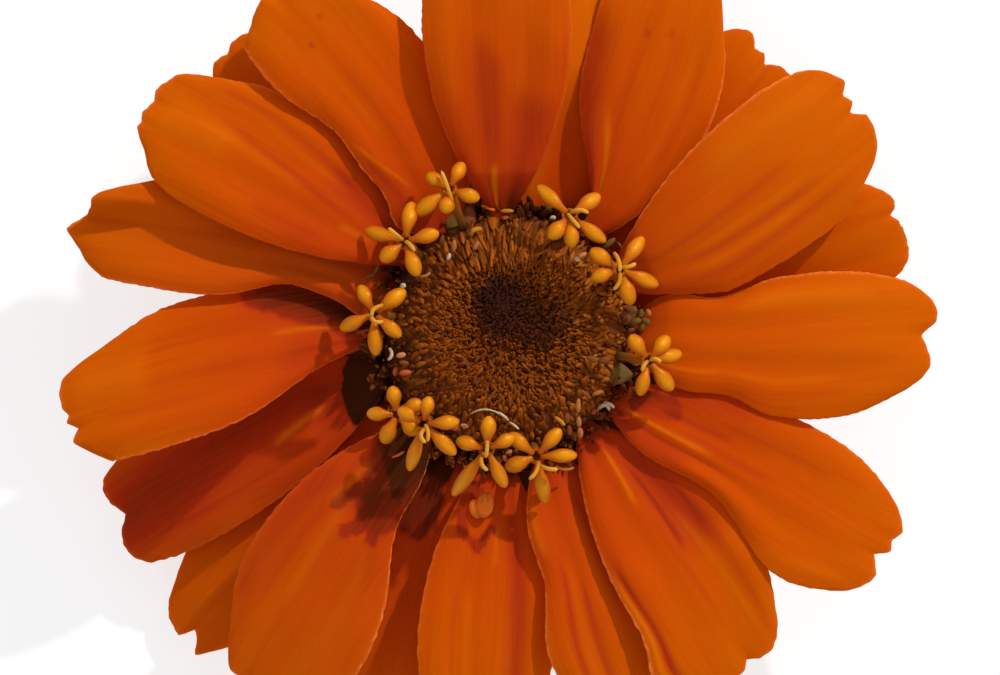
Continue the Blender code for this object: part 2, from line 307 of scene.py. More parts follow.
# Ray florets. The blades follow the frame's own. A blade is the direction of its claw, its reach from
# the axis, its width, the sideways sweep of its tip, the height added to it, the roll that lifts its
# anticlockwise edge and the tilt that lifts its tip. A bulge is a side, -1 for the clockwise edge, a
# place along it, millimetres out and a spread. A curl is the same with millimetres up, and so is a
# shelf, which also has the place across where it starts and the run of its slope. The tip is cut back
# by millimetres at places across it, from -1 to 1. rims are how pale the two margins show, clockwise
# edge first, partly a paler margin and partly a painted highlight where an edge catches the light.
# ruddy is how deep the colour is at the claw and the tip, partly the petal's own redness and partly
# painted shade, and below zero painted light. A fold runs from one place along and across to another,
# with its width across and how deep, or if negative how pale, all in hundredths. The folds are partly
# the petal's own streaks and grooves, partly painted shadow where a neighbour or the florets keep the
# light off, and partly painted light where a petal lies in shade.
petalShape = Values(
    clawRadius=10.0, clawShare=0.17, widestAt=0.66, swellPower=2.3, tipNarrowing=0.24, shoulderDrop=0.15,
    droopPower=2.2, baseRoll=1.5, fullLiftAt=0.12, groovePitch=0.7, grooveDepth=0.1, marginCurl=0.3,
    veins=17, veinDepth=0.007, foldSlope=0.3, tuckedUnder=0.05, thickness=0.3, marginThickness=0.09,
    clawThickness=0.2, toothDepth=0.05, toothPitch=0.55, waviness=0.12, rows=120, columns=56, seed=100)
petalLayers = {
    "upper": Values(claw=9.9, climb=4.0, droop=4.6),
    "under": Values(claw=8.4, climb=2.6, droop=3.8),
}
petalUsual = dict(bulges=(), curls=(), shelves=(), folds=(), rims=(0.1, 0.1), ruddy=(0, 0))
petals = {
    "ray_upper_01": Values(
        blade=(91.5, 34, 11.8, 0, 2.6, 2, 10.5), rims=(0.25, 0.2), ruddy=(0.45, 0.05),
        tip=((-0.9, 0.2), (-0.5, -0.1), (-0.3, 0.9), (-0.1, 0), (0.25, 0.1), (0.4, 1), (0.6, 0.1),
             (0.9, 0.3)),
        # The broad deep fold by the clockwise side of its claw is painted shade
        folds=((15, 26, 60, 22, 12, 50), (15, 6, 55, 6, 8, 45), (-10, -55, 40, -60, 40, 55),
               (-2, 30, 16, 16, 9, -100), (30, 70, 90, 66, 14, -20), (30, -30, 95, -35, 10, -20))),
    "ray_upper_02": Values(
        blade=(53.5, 33.8, 12, 6.2, 0.8, -3, 0), rims=(0.9, 0.3), ruddy=(0.15, 0),
        bulges=((1, 0.13, -2.3, 0.17),),
        tip=((-0.9, -0.3), (-0.4, 0), (-0.22, 0.9), (-0.05, 0.2), (0.2, 0.4), (0.35, 1.1), (0.6, 0),
             (0.9, 0.2)),
        folds=((0, 72, 70, 100, 30, 75), (-4, -5, 42, 50, 7, -70), (25, 22, 60, 28, 6, 25),
               (30, -15, 80, -20, 5, 20), (25, -62, 75, -60, 5, 20), (20, -45, 85, -42, 6, -20),
               (65.5, 28, 69, 28, 3.5, 70), (70, -5, 73.5, -5, 3, 70))),
    "ray_upper_03": Values(
        blade=(26, 33.6, 12.2, 3.8, 2.1, 3.5, 0), rims=(0.1, 1), ruddy=(0.15, 0),
        bulges=((-1, 0.95, 0.9, 0.2), (-1, 0.32, 0.4, 0.1)),
        tip=((-1, -0.6), (-0.6, -0.3), (-0.12, 0.1), (0, 1.3), (0.16, 0.7), (0.33, 1), (0.55, 0),
             (0.9, -0.5)),
        folds=((5, -5, 75, 5, 5, 70), (15, -36, 80, -38, 5, 65), (10, -74, 90, -60, 7, 50),
               (20, -24, 80, -22, 5, -35), (20, -54, 70, -50, 5, -30), (35, 62, 100, 55, 25, -45),
               (2, 25, 16, -5, 12, 60), (-10, 0, 120, 10, 100, -22))),
    "ray_upper_04": Values(
        blade=(-4.5, 34.6, 11.7, 2.2, 1.3, -4, 0), rims=(0.1, 0.8),
        bulges=((-1, 0.33, -1, 0.1), (1, 0.07, 1.6, 0.12), (1, 0.3, -0.6, 0.1)),
        curls=((1, 0.14, 0.4, 0.11), (-1, 0.6, -0.12, 0.4)),
        tip=((-1, 0), (-0.7, 0.1), (-0.33, 0.6), (0.1, 1.6), (0.35, 0.4), (0.6, -0.3), (1, -0.8)),
        folds=((28, 70, 85, 66, 14, -55), (30, 30, 70, 38, 5, 25), (6, -56, 32, -54, 5, -50),
               (28, -58, 72, -42, 5, -40), (5, -28, 22, -18, 5, -30), (30, -74, 80, -62, 5, 20),
               (25, -30, 80, -15, 6, 15), (10, 10, 60, 12, 8, 12), (-10, 10, 110, 10, 100, -28))),
    "ray_upper_05": Values(
        blade=(-31, 35.2, 12.3, 0.5, 1.2, -8, 1), rims=(0.1, 0.4), ruddy=(0.2, 0),
        bulges=((-1, 0.42, -3.2, 0.24), (1, 0.15, 0.5, 0.08)),
        curls=((-1, 0.6, -0.12, 0.4), (1, 0.3, 1, 0.32)),
        tip=((-0.9, -0.8), (-0.35, 0), (-0.06, 1.1), (0.1, 0), (0.3, 0.3), (0.5, -0.4), (0.8, -0.7)),
        # The broad deep folds by its claw are painted shadow from the petal above and the florets
        folds=((2, -9, 38, 2, 5, -90), (20, 10, 60, 10, 6, 35), (30, 50, 75, 52, 6, 30),
               (-5, -50, 35, -70, 30, 50), (-15, 70, 50, 95, 32, 60), (60, -85, 98, -60, 10, -25),
               (5, -35, 45, -25, 10, 55), (12, 30, 42, 34, 7, 50))),
    "ray_upper_06": Values(
        blade=(-50, 33.5, 11.6, -2, 0.8, -9, 2), rims=(1, 0.2), ruddy=(0.3, 0),
        bulges=((-1, 0.88, 1.6, 0.13),),
        curls=((1, 0.75, 1.25, 0.32), (1, 0.2, 0.95, 0.25)),
        tip=((-0.9, 0), (-0.5, 0.1), (-0.3, 0.8), (-0.1, 0.8), (0.04, 1.5), (0.2, 0.8), (0.5, 0.3),
             (0.9, -0.3)),
        # The broad deep fold along its anticlockwise side is painted shadow from the petal above
        folds=((0, 55, 62, 45, 32, 85), (15, 26, 55, 12, 4.5, 90), (6, 10, 32, -10, 4.5, -80),
               (20, 62, 95, 60, 5, 30), (35, 36, 95, 42, 7, -35), (30, -2, 80, 2, 5, 20),
               (33, -86, 98, -76, 5, 110), (40, -94, 95, -88, 3, -100))),
    "ray_upper_07": Values(
        blade=(-71, 33, 10.8, 0.4, 0.3, -9, 2), rims=(0.8, 0.2), ruddy=(0.35, 0.1),
        bulges=((-1, 0.43, -1.4, 0.17),),
        tip=((-0.9, 0.1), (-0.5, -0.2), (-0.25, 0.8), (0, 0), (0.2, 0.1), (0.4, 0.9), (0.7, 0.1), (1, 0.2)),
        folds=((10, -85, 36, -80, 10, -45), (20, 10, 60, 8, 5, -20), (40, -20, 95, -25, 6, 65),
               (30, -55, 95, -58, 6, 70), (10, 35, 60, 32, 8, 50), (30, -38, 90, -40, 5, -20))),
    "ray_upper_08": Values(
        blade=(-93.5, 33, 10.9, 0, -0.1, -8, 3), rims=(0.4, 0.4), ruddy=(0.3, -0.1),
        tip=((-0.9, 0.2), (-0.6, 0), (-0.4, 1), (-0.2, 0.1), (0.15, 0), (0.3, 0.9), (0.5, 0), (0.9, 0.3)),
        folds=((-5, 42, 120, 46, 18, 85), (22, 8, 38, 5, 4, -40), (40, -32, 90, -30, 7, -35),
               (40, -52, 90, -48, 6, 30), (30, 12, 90, 10, 6, 15))),
    "ray_upper_09": Values(
        blade=(-131, 35, 12.4, 3.4, 1.4, 4, -2), rims=(0.2, 0.9), ruddy=(0.6, 0.15),
        bulges=((1, 0.3, -1.9, 0.17), (1, 0.75, 0.4, 0.15)),
        tip=((-0.9, 0.1), (-0.5, 0), (-0.2, 1), (0, 0.2), (0.25, 0.1), (0.45, 0.9), (0.65, 0), (0.9, 0.1)),
        # The broad deep fold over its claw is painted shade under the florets
        folds=((20, -85, 95, -80, 22, 45), (30, -28, 75, -20, 8, -35), (15, -45, 40, -50, 7, -35),
               (30, -50, 80, -50, 5, 30), (35, 45, 95, 50, 10, -20), (-10, 10, 42, 10, 60, 40))),
    "ray_upper_10": Values(
        blade=(-162, 35.1, 11.6, 4.2, -1.8, 10, -11), rims=(0.2, 0.2), ruddy=(0.6, 0.5),
        tip=((-0.9, -0.9), (-0.7, -0.6), (-0.26, 0.6), (0.03, 1.6), (0.24, 0.9), (0.58, 0), (0.95, -1.3)),
        # Its broad deep folds are painted shadow from the petal above it
        folds=((20, 10, 42, 28, 6, -80), (20, 60, 90, 62, 6, 20), (-10, 20, 30, 20, 60, 50),
               (0, -45, 140, 25, 50, 80), (50, 30, 150, 80, 30, 30))),
    "ray_upper_11": Values(
        blade=(179.5, 35.3, 11.2, 6, 0.5, 11, 7.8), rims=(0.2, 0.7), ruddy=(0.5, 0.05),
        bulges=((1, 0.18, -1.4, 0.17), (-1, 0.28, 0.8, 0.15)),
        tip=((-0.9, -0.3), (-0.5, -0.2), (0.04, 0.3), (0.15, 0.8), (0.3, 0.5), (0.39, 1.4), (0.67, 0.1),
             (0.93, 0.5)),
        # Its broad deep folds by the claw are painted shadow from the petal above and the florets
        folds=((10, -28, 36, -22, 4, -60), (-5, 40, 35, 35, 35, 35), (30, 10, 80, 5, 7, 20),
               (50, 45, 90, 40, 6, 20), (70, -15, 100, -20, 35, -35), (-20, -55, 52, -95, 34, 60))),
    "ray_upper_12": Values(
        blade=(156.2, 35.3, 9.7, 5, 0.5, 9, 5), rims=(0.1, 0.6), ruddy=(0.7, 0.15),
        bulges=((1, 0, 2.2, 0.1), (1, 0.3, -1.5, 0.13)),
        shelves=((-1, 0.97, 2.9, 0.34, 0.02, 0.42),),
        tip=((-0.9, 0.3), (-0.5, 0.6), (-0.27, 1.2), (-0.09, 1.1), (0.36, -0.1), (0.64, 0.7), (0.9, 0.4)),
        folds=((20, 30, 90, 20, 8, 15), (-20, 20, 130, 20, 100, -25))),
    "ray_upper_13": Values(
        blade=(141, 33.4, 11.6, 3.4, 1.6, 11, 10.5), rims=(0.5, 0.1), ruddy=(0.4, 0),
        curls=((1, 0.75, -0.5, 0.25),),
        tip=((-0.9, -1.2), (-0.5, -0.4), (-0.2, -0.2), (-0.08, 0.3), (0.21, 0), (0.35, 0.4), (0.48, 0.1),
             (0.72, 0.8), (0.95, 0.5)),
        folds=((10, 28, 26, 24, 8, -50), (22, 62, 55, 60, 8, 35), (14, 10, 85, -30, 6, 50),
               (20, -45, 95, -72, 6, 40), (0, -35, 40, -40, 25, 60), (25, -30, 70, -48, 5, -25),
               (35, 5, 90, -10, 6, -25), (65, 10, 100, 0, 25, -40))),
    "ray_upper_14": Values(
        blade=(113.5, 33.2, 11.9, 5.3, 1.4, 8, 9.4), rims=(0.1, 0.8), ruddy=(0.25, 0),
        bulges=((1, 0.04, 2.4, 0.1), (1, 0.44, -1.3, 0.15)),
        tip=((-0.9, 0), (-0.4, 0.1), (-0.1, 0.6), (0.16, 1.6), (0.39, 1), (0.74, 1.4), (0.95, 0.9)),
        folds=((2, 62, 34, 90, 12, 60), (14, 42, 40, 92, 3, -60), (30, 30, 80, 35, 10, -20),
               (20, 12, 70, 10, 6, 20), (72.5, 26, 75.5, 26, 3.5, 70), (80.5, -9, 83.5, -9, 3.5, 70))),
    "ray_under_01": Values(
        blade=(78.5, 33, 11, 0, 0, 0, 2), ruddy=(-0.4, 0),
        bulges=((-1, 0.08, 1.9, 0.15),),
        tip=((-0.8, 0), (-0.3, 0.8), (0, 0), (0.35, 0.8), (0.8, 0)),
        # Its pale folds are painted light over the shade it lies in
        folds=((25, 0, 140, 0, 120, -70), (-15, 20, 50, 12, 22, -80))),
    "ray_under_02": Values(
        blade=(45, 31.5, 11, 1, 0, 0, 0),
        tip=((-0.64, -0.1), (-0.3, 0.7), (-0.09, 1.6), (0.06, 0.9), (0.24, 1.15), (0.5, 0), (0.82, -0.4))),
    "ray_under_03": Values(
        blade=(13.5, 33, 11.5, 1, 0, 0, 0),
        shelves=((1, 0.75, 1.3, 0.4, -0.5, 0.9),),
        tip=((-0.8, -0.7), (-0.37, -0.2), (0.14, 0.3), (0.25, 0.8), (0.4, 0.1), (0.6, -0.3), (1, -0.4))),
    "ray_under_04": Values(
        blade=(-107, 33, 11, 0, 0.8, 0, -5), ruddy=(0.7, 0.3),
        bulges=((-1, 0.12, 1.2, 0.12),),
        tip=((-0.8, 0.1), (-0.35, 0.9), (0, 0), (0.3, 0.8), (0.8, 0))),
    "ray_under_05": Values(
        blade=(-143, 35.4, 11, 3.4, -1.2, 0, -9), ruddy=(0.5, 0.1),
        tip=((-0.77, 0.1), (-0.3, -0.1), (0.04, -0.2), (0.13, 1.2), (0.29, 0.8), (0.52, -0.6), (0.78, 0.7))),
    "ray_under_06": Values(
        blade=(130.5, 32, 11, 1.5, 0, 0, 5), ruddy=(0.3, 0),
        tip=((-0.7, 0.1), (-0.44, 0.2), (0, 0.1), (0.2, 0.6), (0.48, 0), (0.8, 0.3))),
}


# Painted shadow on the petals, mostly where the florets and a neighbour keep the light off: each patch
# runs from one place to another as seen from above, with a radius and a strength
paintedShadePatches = {
    "ray_upper_09": ((-8.5, -8.9, -9.9, -13.9, 2, 0.85), (-6.4, -11, -8.5, -13.1, 1.6, 0.85),
                     (-8.3, -8.9, -7.4, -12, 1.9, 1.15), (-11.6, -12.3, -13.4, -13.2, 0.6, 0.85),
                     (-11.1, -14.9, -12.6, -15.5, 0.6, 0.8), (-10.3, -15.2, -10.6, -16.4, 0.55, 0.8)),
    "ray_under_04": ((-5.6, -9.5, -7, -14.6, 1.7, 1.1),),
    "ray_upper_10": ((-10.6, -1.6, -10.6, -6, 1.7, 2.2), (-11.2, -3.2, -11.2, -5.2, 1.6, 2.2),
                     (-9.5, -7.5, -9, -9.9, 1.1, 2)),
    "ray_upper_11": ((-19.5, 3.7, -12.6, 1.5, 1.7, 0.85), (-10.2, -1.2, -10.4, -2.4, 1.2, 2)),
    "ray_upper_05": ((10.8, -5.3, 13.2, -5.9, 1, 0.7),),
    "ray_upper_08": ((-3.5, -13.1, -3.3, -15.9, 0.42, 1), (-3.3, -15.9, -2.2, -16.9, 0.42, 1),
                     (-2.2, -16.9, -1.2, -15.5, 0.42, 1), (-3.6, -11.6, -2.6, -12.6, 0.9, 0.9)),
}


def paintedShadeOf(name, x, y):
    # The strongest painted shadow over each place: the distance to its line, full within 0.85 of the
    # radius and gone by 1.15 of it
    paintedShade = 0.0 * x
    ragged = 0.16 * ripple(np.random.default_rng(5), x, y, 2.2, 0.5, 5)
    for startX, startY, endX, endY, radius, strength in paintedShadePatches.get(name, ()):
        runX, runY = endX - startX, endY - startY
        along = held(((x - startX) * runX + (y - startY) * runY) / (runX ** 2 + runY ** 2))
        away = (np.hypot(x - startX - along * runX, y - startY - along * runY) + ragged) / radius
        paintedShade = np.maximum(paintedShade, strength * (1.0 - ease((away - 0.85) / 0.3)))
    return paintedShade


def foldsOf(petal, u, v):
    # Each fold's strength and width, and its share of each place: a bell across the line from its
    # start to its end, eased in and out over a quarter of its length
    for fold in petal.folds:
        startU, startV, endU, endV, width, strength = (part / 100 for part in fold)
        run = (u - startU) / (endU - startU)
        share = ease(4.0 * run) * ease(4.0 * (1.0 - run)) * bump(v, startV + (endV - startV) * run, width)
        yield strength, width, share


def bladeMiddle(petal, layer, u, v, rng):
    # u runs from the claw at 0 to the tip at 1, v across from -1 to 1. Half width: a claw, a quick
    # swell, then a slight narrowing, plus the bulges. Height: claw + climb u - droop u^2.2, added
    # lift, tilt along and roll across, three ridges and two grooves as a cosine across, curled
    # margins, fine veins, slow waves, and the folds, as deep as they are wide
    shape = petalShape
    direction, reach, width, sweepOff, lift, roll, tilt = petal.blade
    kept = held(u)
    swell = 1.0 - held(1.0 - u / shape.widestAt) ** shape.swellPower
    past = held(u - shape.widestAt) / (1.0 - shape.widestAt)
    share = shape.clawShare + (1.0 - shape.clawShare) * swell
    half = 0.5 * width * share * (1.0 - shape.tipNarrowing * past ** 2)
    for side, place, out, spread in petal.bulges:
        half = half + ease(0.5 + 6.0 * side * v) * out * bump(u, place, spread)
    fringe = ripple(rng, v * half, 0.0 * v, 1.1, shape.toothPitch, 3) * shape.toothDepth
    shoulders = 1.0 - shape.shoulderDrop * np.abs(v) ** 3 * kept ** 3
    along = shape.clawRadius + (reach - shape.clawRadius) * u * shoulders
    along = along - (np.interp(v, *zip(*petal.tip)) + fringe) * kept ** 9
    teeth = ripple(rng, along, 0.0 * along, 1.4, shape.toothPitch, 4) * shape.toothDepth
    fromRib = v * half + np.sign(v) * np.abs(v) ** 14 * teeth
    across = fromRib + sweepOff * 0.5 * u * (1.0 + u)
    fade = np.sin(math.pi * held(u + 0.08)) ** 0.5
    grooves = shape.grooveDepth * np.cos(fullTurn * v / shape.groovePitch) - shape.marginCurl * v ** 6
    veins = shape.veinDepth * np.cos(math.pi * shape.veins * (v + 0.03 * np.sin(5.0 * u)))
    waves = shape.waviness * ripple(rng, along, fromRib, 16.0, 4.0, 6) * ease(u / 0.3) * (0.5 + v ** 2)
    raised = 0.0 * u
    for strength, foldWidth, share in foldsOf(petal, u, v):
        raised = raised - strength * share * foldWidth * half * shape.foldSlope
    height = layer.claw + layer.climb * u - layer.droop * kept ** shape.droopPower
    height = height + lift * (0.5 + 0.5 * held(u / shape.fullLiftAt))
    height = height + fade * (grooves + veins) + waves + raised
    height = height + (along - shape.clawRadius) * math.tan(math.radians(tilt))
    height = height + fromRib * math.tan(math.radians(roll)) * (1.0 + shape.baseRoll * (1.0 - u) ** 4)
    for side, place, up, spread in petal.curls:
        height = height + up * held(side * v) ** 1.5 * bump(u, place, spread)
    for side, place, up, spread, inner, run in petal.shelves:
        height = height + up * ease((side * v - inner) / run) * bump(u, place, spread)
    return stack(*turned(along, across, direction), height), fromRib, along


def petalSkin(name, number):
    # Rows crowd towards the tip and columns towards the margins, and the sheet thins to its edge
    shape = petalShape
    petal = Values({**petalUsual, **petals[name]})
    rng = np.random.default_rng(shape.seed + number)
    u = (1.0 + shape.tuckedUnder) * (1.0 - (1.0 - even(shape.rows)) ** 1.25) - shape.tuckedUnder
    bend = 0.4 * math.pi
    u, v = grid(u, np.sin(bend * even(shape.columns, -1.0)) / math.sin(bend))
    middle, fromRib, along = bladeMiddle(petal, petalLayers[name[4:9]], u, v, rng)
    edge = np.maximum(np.abs(v) ** 5, held(u) ** 30)
    thickness = shape.thickness + (shape.marginThickness - shape.thickness) * edge
    thickness = thickness + shape.clawThickness * (1.0 - ease((u + 0.05) / 0.2)) * (1.0 - edge)
    # The margins' pale line, partly a paler margin and partly a painted highlight where an edge catches the
    # light
    shown = np.where(v < 0.0, *petal.rims)
    rim = np.maximum(bump(np.abs(v), 1.0, 0.03) * shown, 0.35 * bump(u, 1.0, 0.010))
    # How deep and how pale the colour is: the petal's own ruddiness from claw to tip, partly painted
    # shade, a painted shade over the claw where the disc and florets keep the light off, the folds with
    # their painted shade and light, and the painted shadow patches
    base, tip = petal.ruddy
    deep = base + (tip - base) * ease(u / 0.8) + 0.9 * (1.0 - ease(u / 0.14))
    pale = 0.0 * u
    for strength, _, share in foldsOf(petal, u, v):
        deep = deep + max(strength, 0.0) * share
        pale = pale + max(-strength, 0.0) * share
    # Painted shadow patches
    deep = deep + paintedShadeOf(name, middle[..., 0], middle[..., 1])
    grow = stack(fromRib, along, 17.3 * number)
    traits = {"grow": grow, "tone": stack(u, deep, pale), "marks": stack(rim, v, 0.0)}
    traits = {trait: bothSides(value, value) for trait, value in traits.items()}
    finish = np.zeros((shape.rows - 1, 2 * shape.columns), int)
    finish[:, shape.columns:-1] = 1
    finish = np.concatenate([finish.ravel(), np.zeros(2 * (shape.columns - 1), int)])
    return Values(points=sheetPoints(middle, thickness), finish=finish, traits=traits)


# The deep colour is the petal's redder tone and also painted shade, the dark one is painted shadow at its
# strongest, the pale one is partly painted light, and the rim is a paler margin, partly a painted highlight
petalColours = Values(
    base=(0.53, 0.052, 0.001), middle=(0.58, 0.07, 0.0006), outer=(0.565, 0.098, 0.0004),
    deep=(0.4, 0.03, 0.005), dark=(0.055, 0.012, 0.003), pale=(0.68, 0.14, 0.002),
    rim=(0.86, 0.19, 0.035), streak=(0.5, 0.048, 0.0015), fine=(0.45, 0.35, 0.3),
    underBase=(0.42, 0.2, 0.05), underMiddle=(0.55, 0.13, 0.012),
    underTip=(0.6, 0.12, 0.005), underVein=(0.44, 0.075, 0.008), underDeep=(0.5, 0.2, 0.05))
petalGlow = {"Subsurface Weight": 0.12, "Subsurface Radius": (1.0, 0.25, 0.05), "Subsurface Scale": mm}


def petalTop():
    # Deep orange, paler outwards, with soft streaks along the blade, redder folds, painted shade and shadow
    # where the tone runs deep, painted light where it runs pale, and pale margins, partly a painted
    # highlight
    colours = petalColours
    finish = Finish("petal velvet orange", 0.6, 0.008, **petalGlow)
    u, deep, pale, _ = finish.trait("tone")
    rim = finish.trait("marks")[0]
    grow = finish.trait("grow")[3]
    broad = finish.grain((0.25, 0.1, 1.0), 2.0, over=grow)
    reach = finish.times(u, finish.times(finish.times(broad, 0.5, "SUBTRACT"), 0.5), "ADD")
    finish.ramp(reach, (0.05, colours.base), (0.4, colours.middle), (0.9, colours.outer))
    finish.lay(colours.streak, finish.grain((1.3, 0.06, 1.0), 4.0, 0.6, grow), 0.45, 0.75, 0.0, 0.45)
    fine = finish.grain((5.0, 0.2, 1.0), over=grow)
    wander = finish.span(fine, 0.2, 0.8, 0.86, 1.1)
    # Painted shade up to the deep colour, painted shadow on to the dark one, and painted light by the pale
    # one
    depth = finish.times(deep, wander)
    finish.lay(colours.deep, depth, 0.0, 1.0)
    finish.lay(colours.dark, depth, 1.0, 2.0)
    finish.lay(colours.pale, finish.times(pale, wander))
    finish.lay(colours.fine, fine, 0.3, 0.7, 0.0, 0.1, blend="MULTIPLY")
    # Dotted pale margins, partly a painted highlight
    dots = finish.span(finish.grain((3.0, 2.2, 1.0), 2.0, over=grow), 0.42, 0.58, 0.35, 1.0)
    finish.lay(colours.rim, finish.times(rim, dots))
    velvet = finish.grain((12.0, 8.0, 1.0), 2.0, over=grow)
    return finish.done(finish.times(fine, finish.times(velvet, 0.4), "ADD"), 0.018)


def petalBack():
    # The under side is paler and duller, with its veins standing out
    colours = petalColours
    finish = Finish("petal pale underside", 0.6, 0.15, **petalGlow)
    u, deep, _, _ = finish.trait("tone")
    fine = finish.grain((4.0, 0.2, 1.0), over=finish.trait("grow")[3])
    finish.ramp(u, (0.0, colours.underBase), (0.3, colours.underMiddle), (1.0, colours.underTip))
    finish.lay(colours.underVein, fine, 0.35, 0.7, 0.0, 0.45)
    # The top's depth shows faintly here, painted shade included
    finish.lay(colours.underDeep, finish.times(deep, 0.3))
    return finish.done(fine, 0.06)


petalFinishes = [petalTop(), petalBack()]
for number, name in enumerate(petals):
    makePiece("petal_" + name[4:], [petalSkin(name, number)], petalFinishes, "ray_orange", name)
print("petals:", len(petals))


# The disc's outline from the middle of its foot to the pit, as radius and height. Above the wall it
# leans off the axis by crownOffset, and its middle by pitOffset.
discShape = Values(
    outline=((0, 7.7), (9.2, 7.7), (9.7, 8.3), (9.7, 9.9), (9.3, 11), (8.3, 12.1),
             (7, 12.9), (5.6, 13), (4.4, 12.2), (3.5, 10.8), (2.4, 9.7), (0, 9.2)),
    wallTop=9.9, crownRadius=5.6, crownRise=2.2, crownOffset=(0.5, 0.3), pitOffset=(-0.5, 1.6),
    rings=70, sides=128, inset=0.02, roughness=0.14, seed=7)


def discShift(radius, height):
    # How far the disc leans off the axis at a radius and height
    shape = discShape
    rise = np.where(radius > shape.crownRadius, held((height - shape.wallTop) / shape.crownRise), 1.0)
    sink = held(1.0 - radius / shape.crownRadius)
    return [rise * lean + sink * pit for lean, pit in zip(shape.crownOffset, shape.pitOffset)]


def discLevel(radius):
    # Height of its upper side at a radius before it leans, read off the outline
    return np.interp(radius, *zip(*discShape.outline[:2:-1]))


def onDisc(x, y):
    # Height of the leaning disc over a place, found in a few steps as the lean depends on the height
    side, forward = 0.0, 0.0
    for step in range(5):
        radius = np.hypot(x - side, y - forward)
        height = discLevel(radius)
        side, forward = discShift(radius, height)
    return height


def discSkin():
    # The outline turned about the leaning axis, with a seeded roughness
    radius, height, turn = lathe(discShape)
    side, forward = discShift(radius, height)
    x, y = radius * cosine(turn) + side, radius * sine(turn) + forward
    rough = ripple(np.random.default_rng(discShape.seed), x, y, 2.4, 0.6, 8)
    rough = discShape.roughness * rough * ease((height - 8.0) / 2.0)
    tone = stack(held((height - 9.0) / 4.0), 0.5 + 0.5 * rough / discShape.roughness, radius / 10.0)
    return skinOf(stack(x, y, height + rough)[None], tone)


# Chaff on a golden-angle spiral: fine bristles in the middle and blunt scales and closed florets
# round them, each kind by count, radii, lengths, widths, how far it leans in, its bluntness and how
# much its colour varies
chaffKinds = {
    "disc_chaff": Values(
        count=2200, radii=(0.4, 6.7), length=(0.8, 1.3), halfWidth=0.145, halfDepth=0.11, sunk=0.4,
        lean=(0.15, 0.75), spread=0.25, blunt=0.45, rings=5, sides=6, variety=0.35, seed=11),
    "disc_rim": Values(
        count=950, radii=(6.2, 9.5), length=(0.8, 1.6), halfWidth=0.2, halfDepth=0.16, sunk=0.5,
        lean=(0.75, 0.45), spread=0.45, blunt=0.6, rings=7, sides=8, variety=0.8, seed=12),
    "disc_fringe": Values(
        count=420, radii=(9.2, 10.9), length=(3.3, 4.3), halfWidth=0.34, halfDepth=0.16, sunk=2.2,
        lean=(-0.1, -0.45), spread=0.25, blunt=0.25, rings=8, sides=8, variety=0.5, seed=13),
}
# Where the shoulder holds closed florets that lie in like rods, as azimuth and spread
rods = Values(azimuth=95.0, spread=42.0, inner=5.8, outer=9.2, longer=0.7, leanMore=0.7, slimmer=0.25)
# Painted shade in the pit and beside it, where its walls keep the light off, as middle, radii, sharpness
# and strength, and painted shade in hollows at the rim, as middle and radius
pitShades = ((-0.4, 2.4, 2.7, 3.3, 2.4, 1.5, 1.0), (2.6, 1.0, 3.6, 2.6, 2.0, 1.0, 0.6))
paintedRimShade = ((-8.4, 4.5, 2.0), (-8.8, -1.0, 1.5), (3.4, 9.6, 1.2))


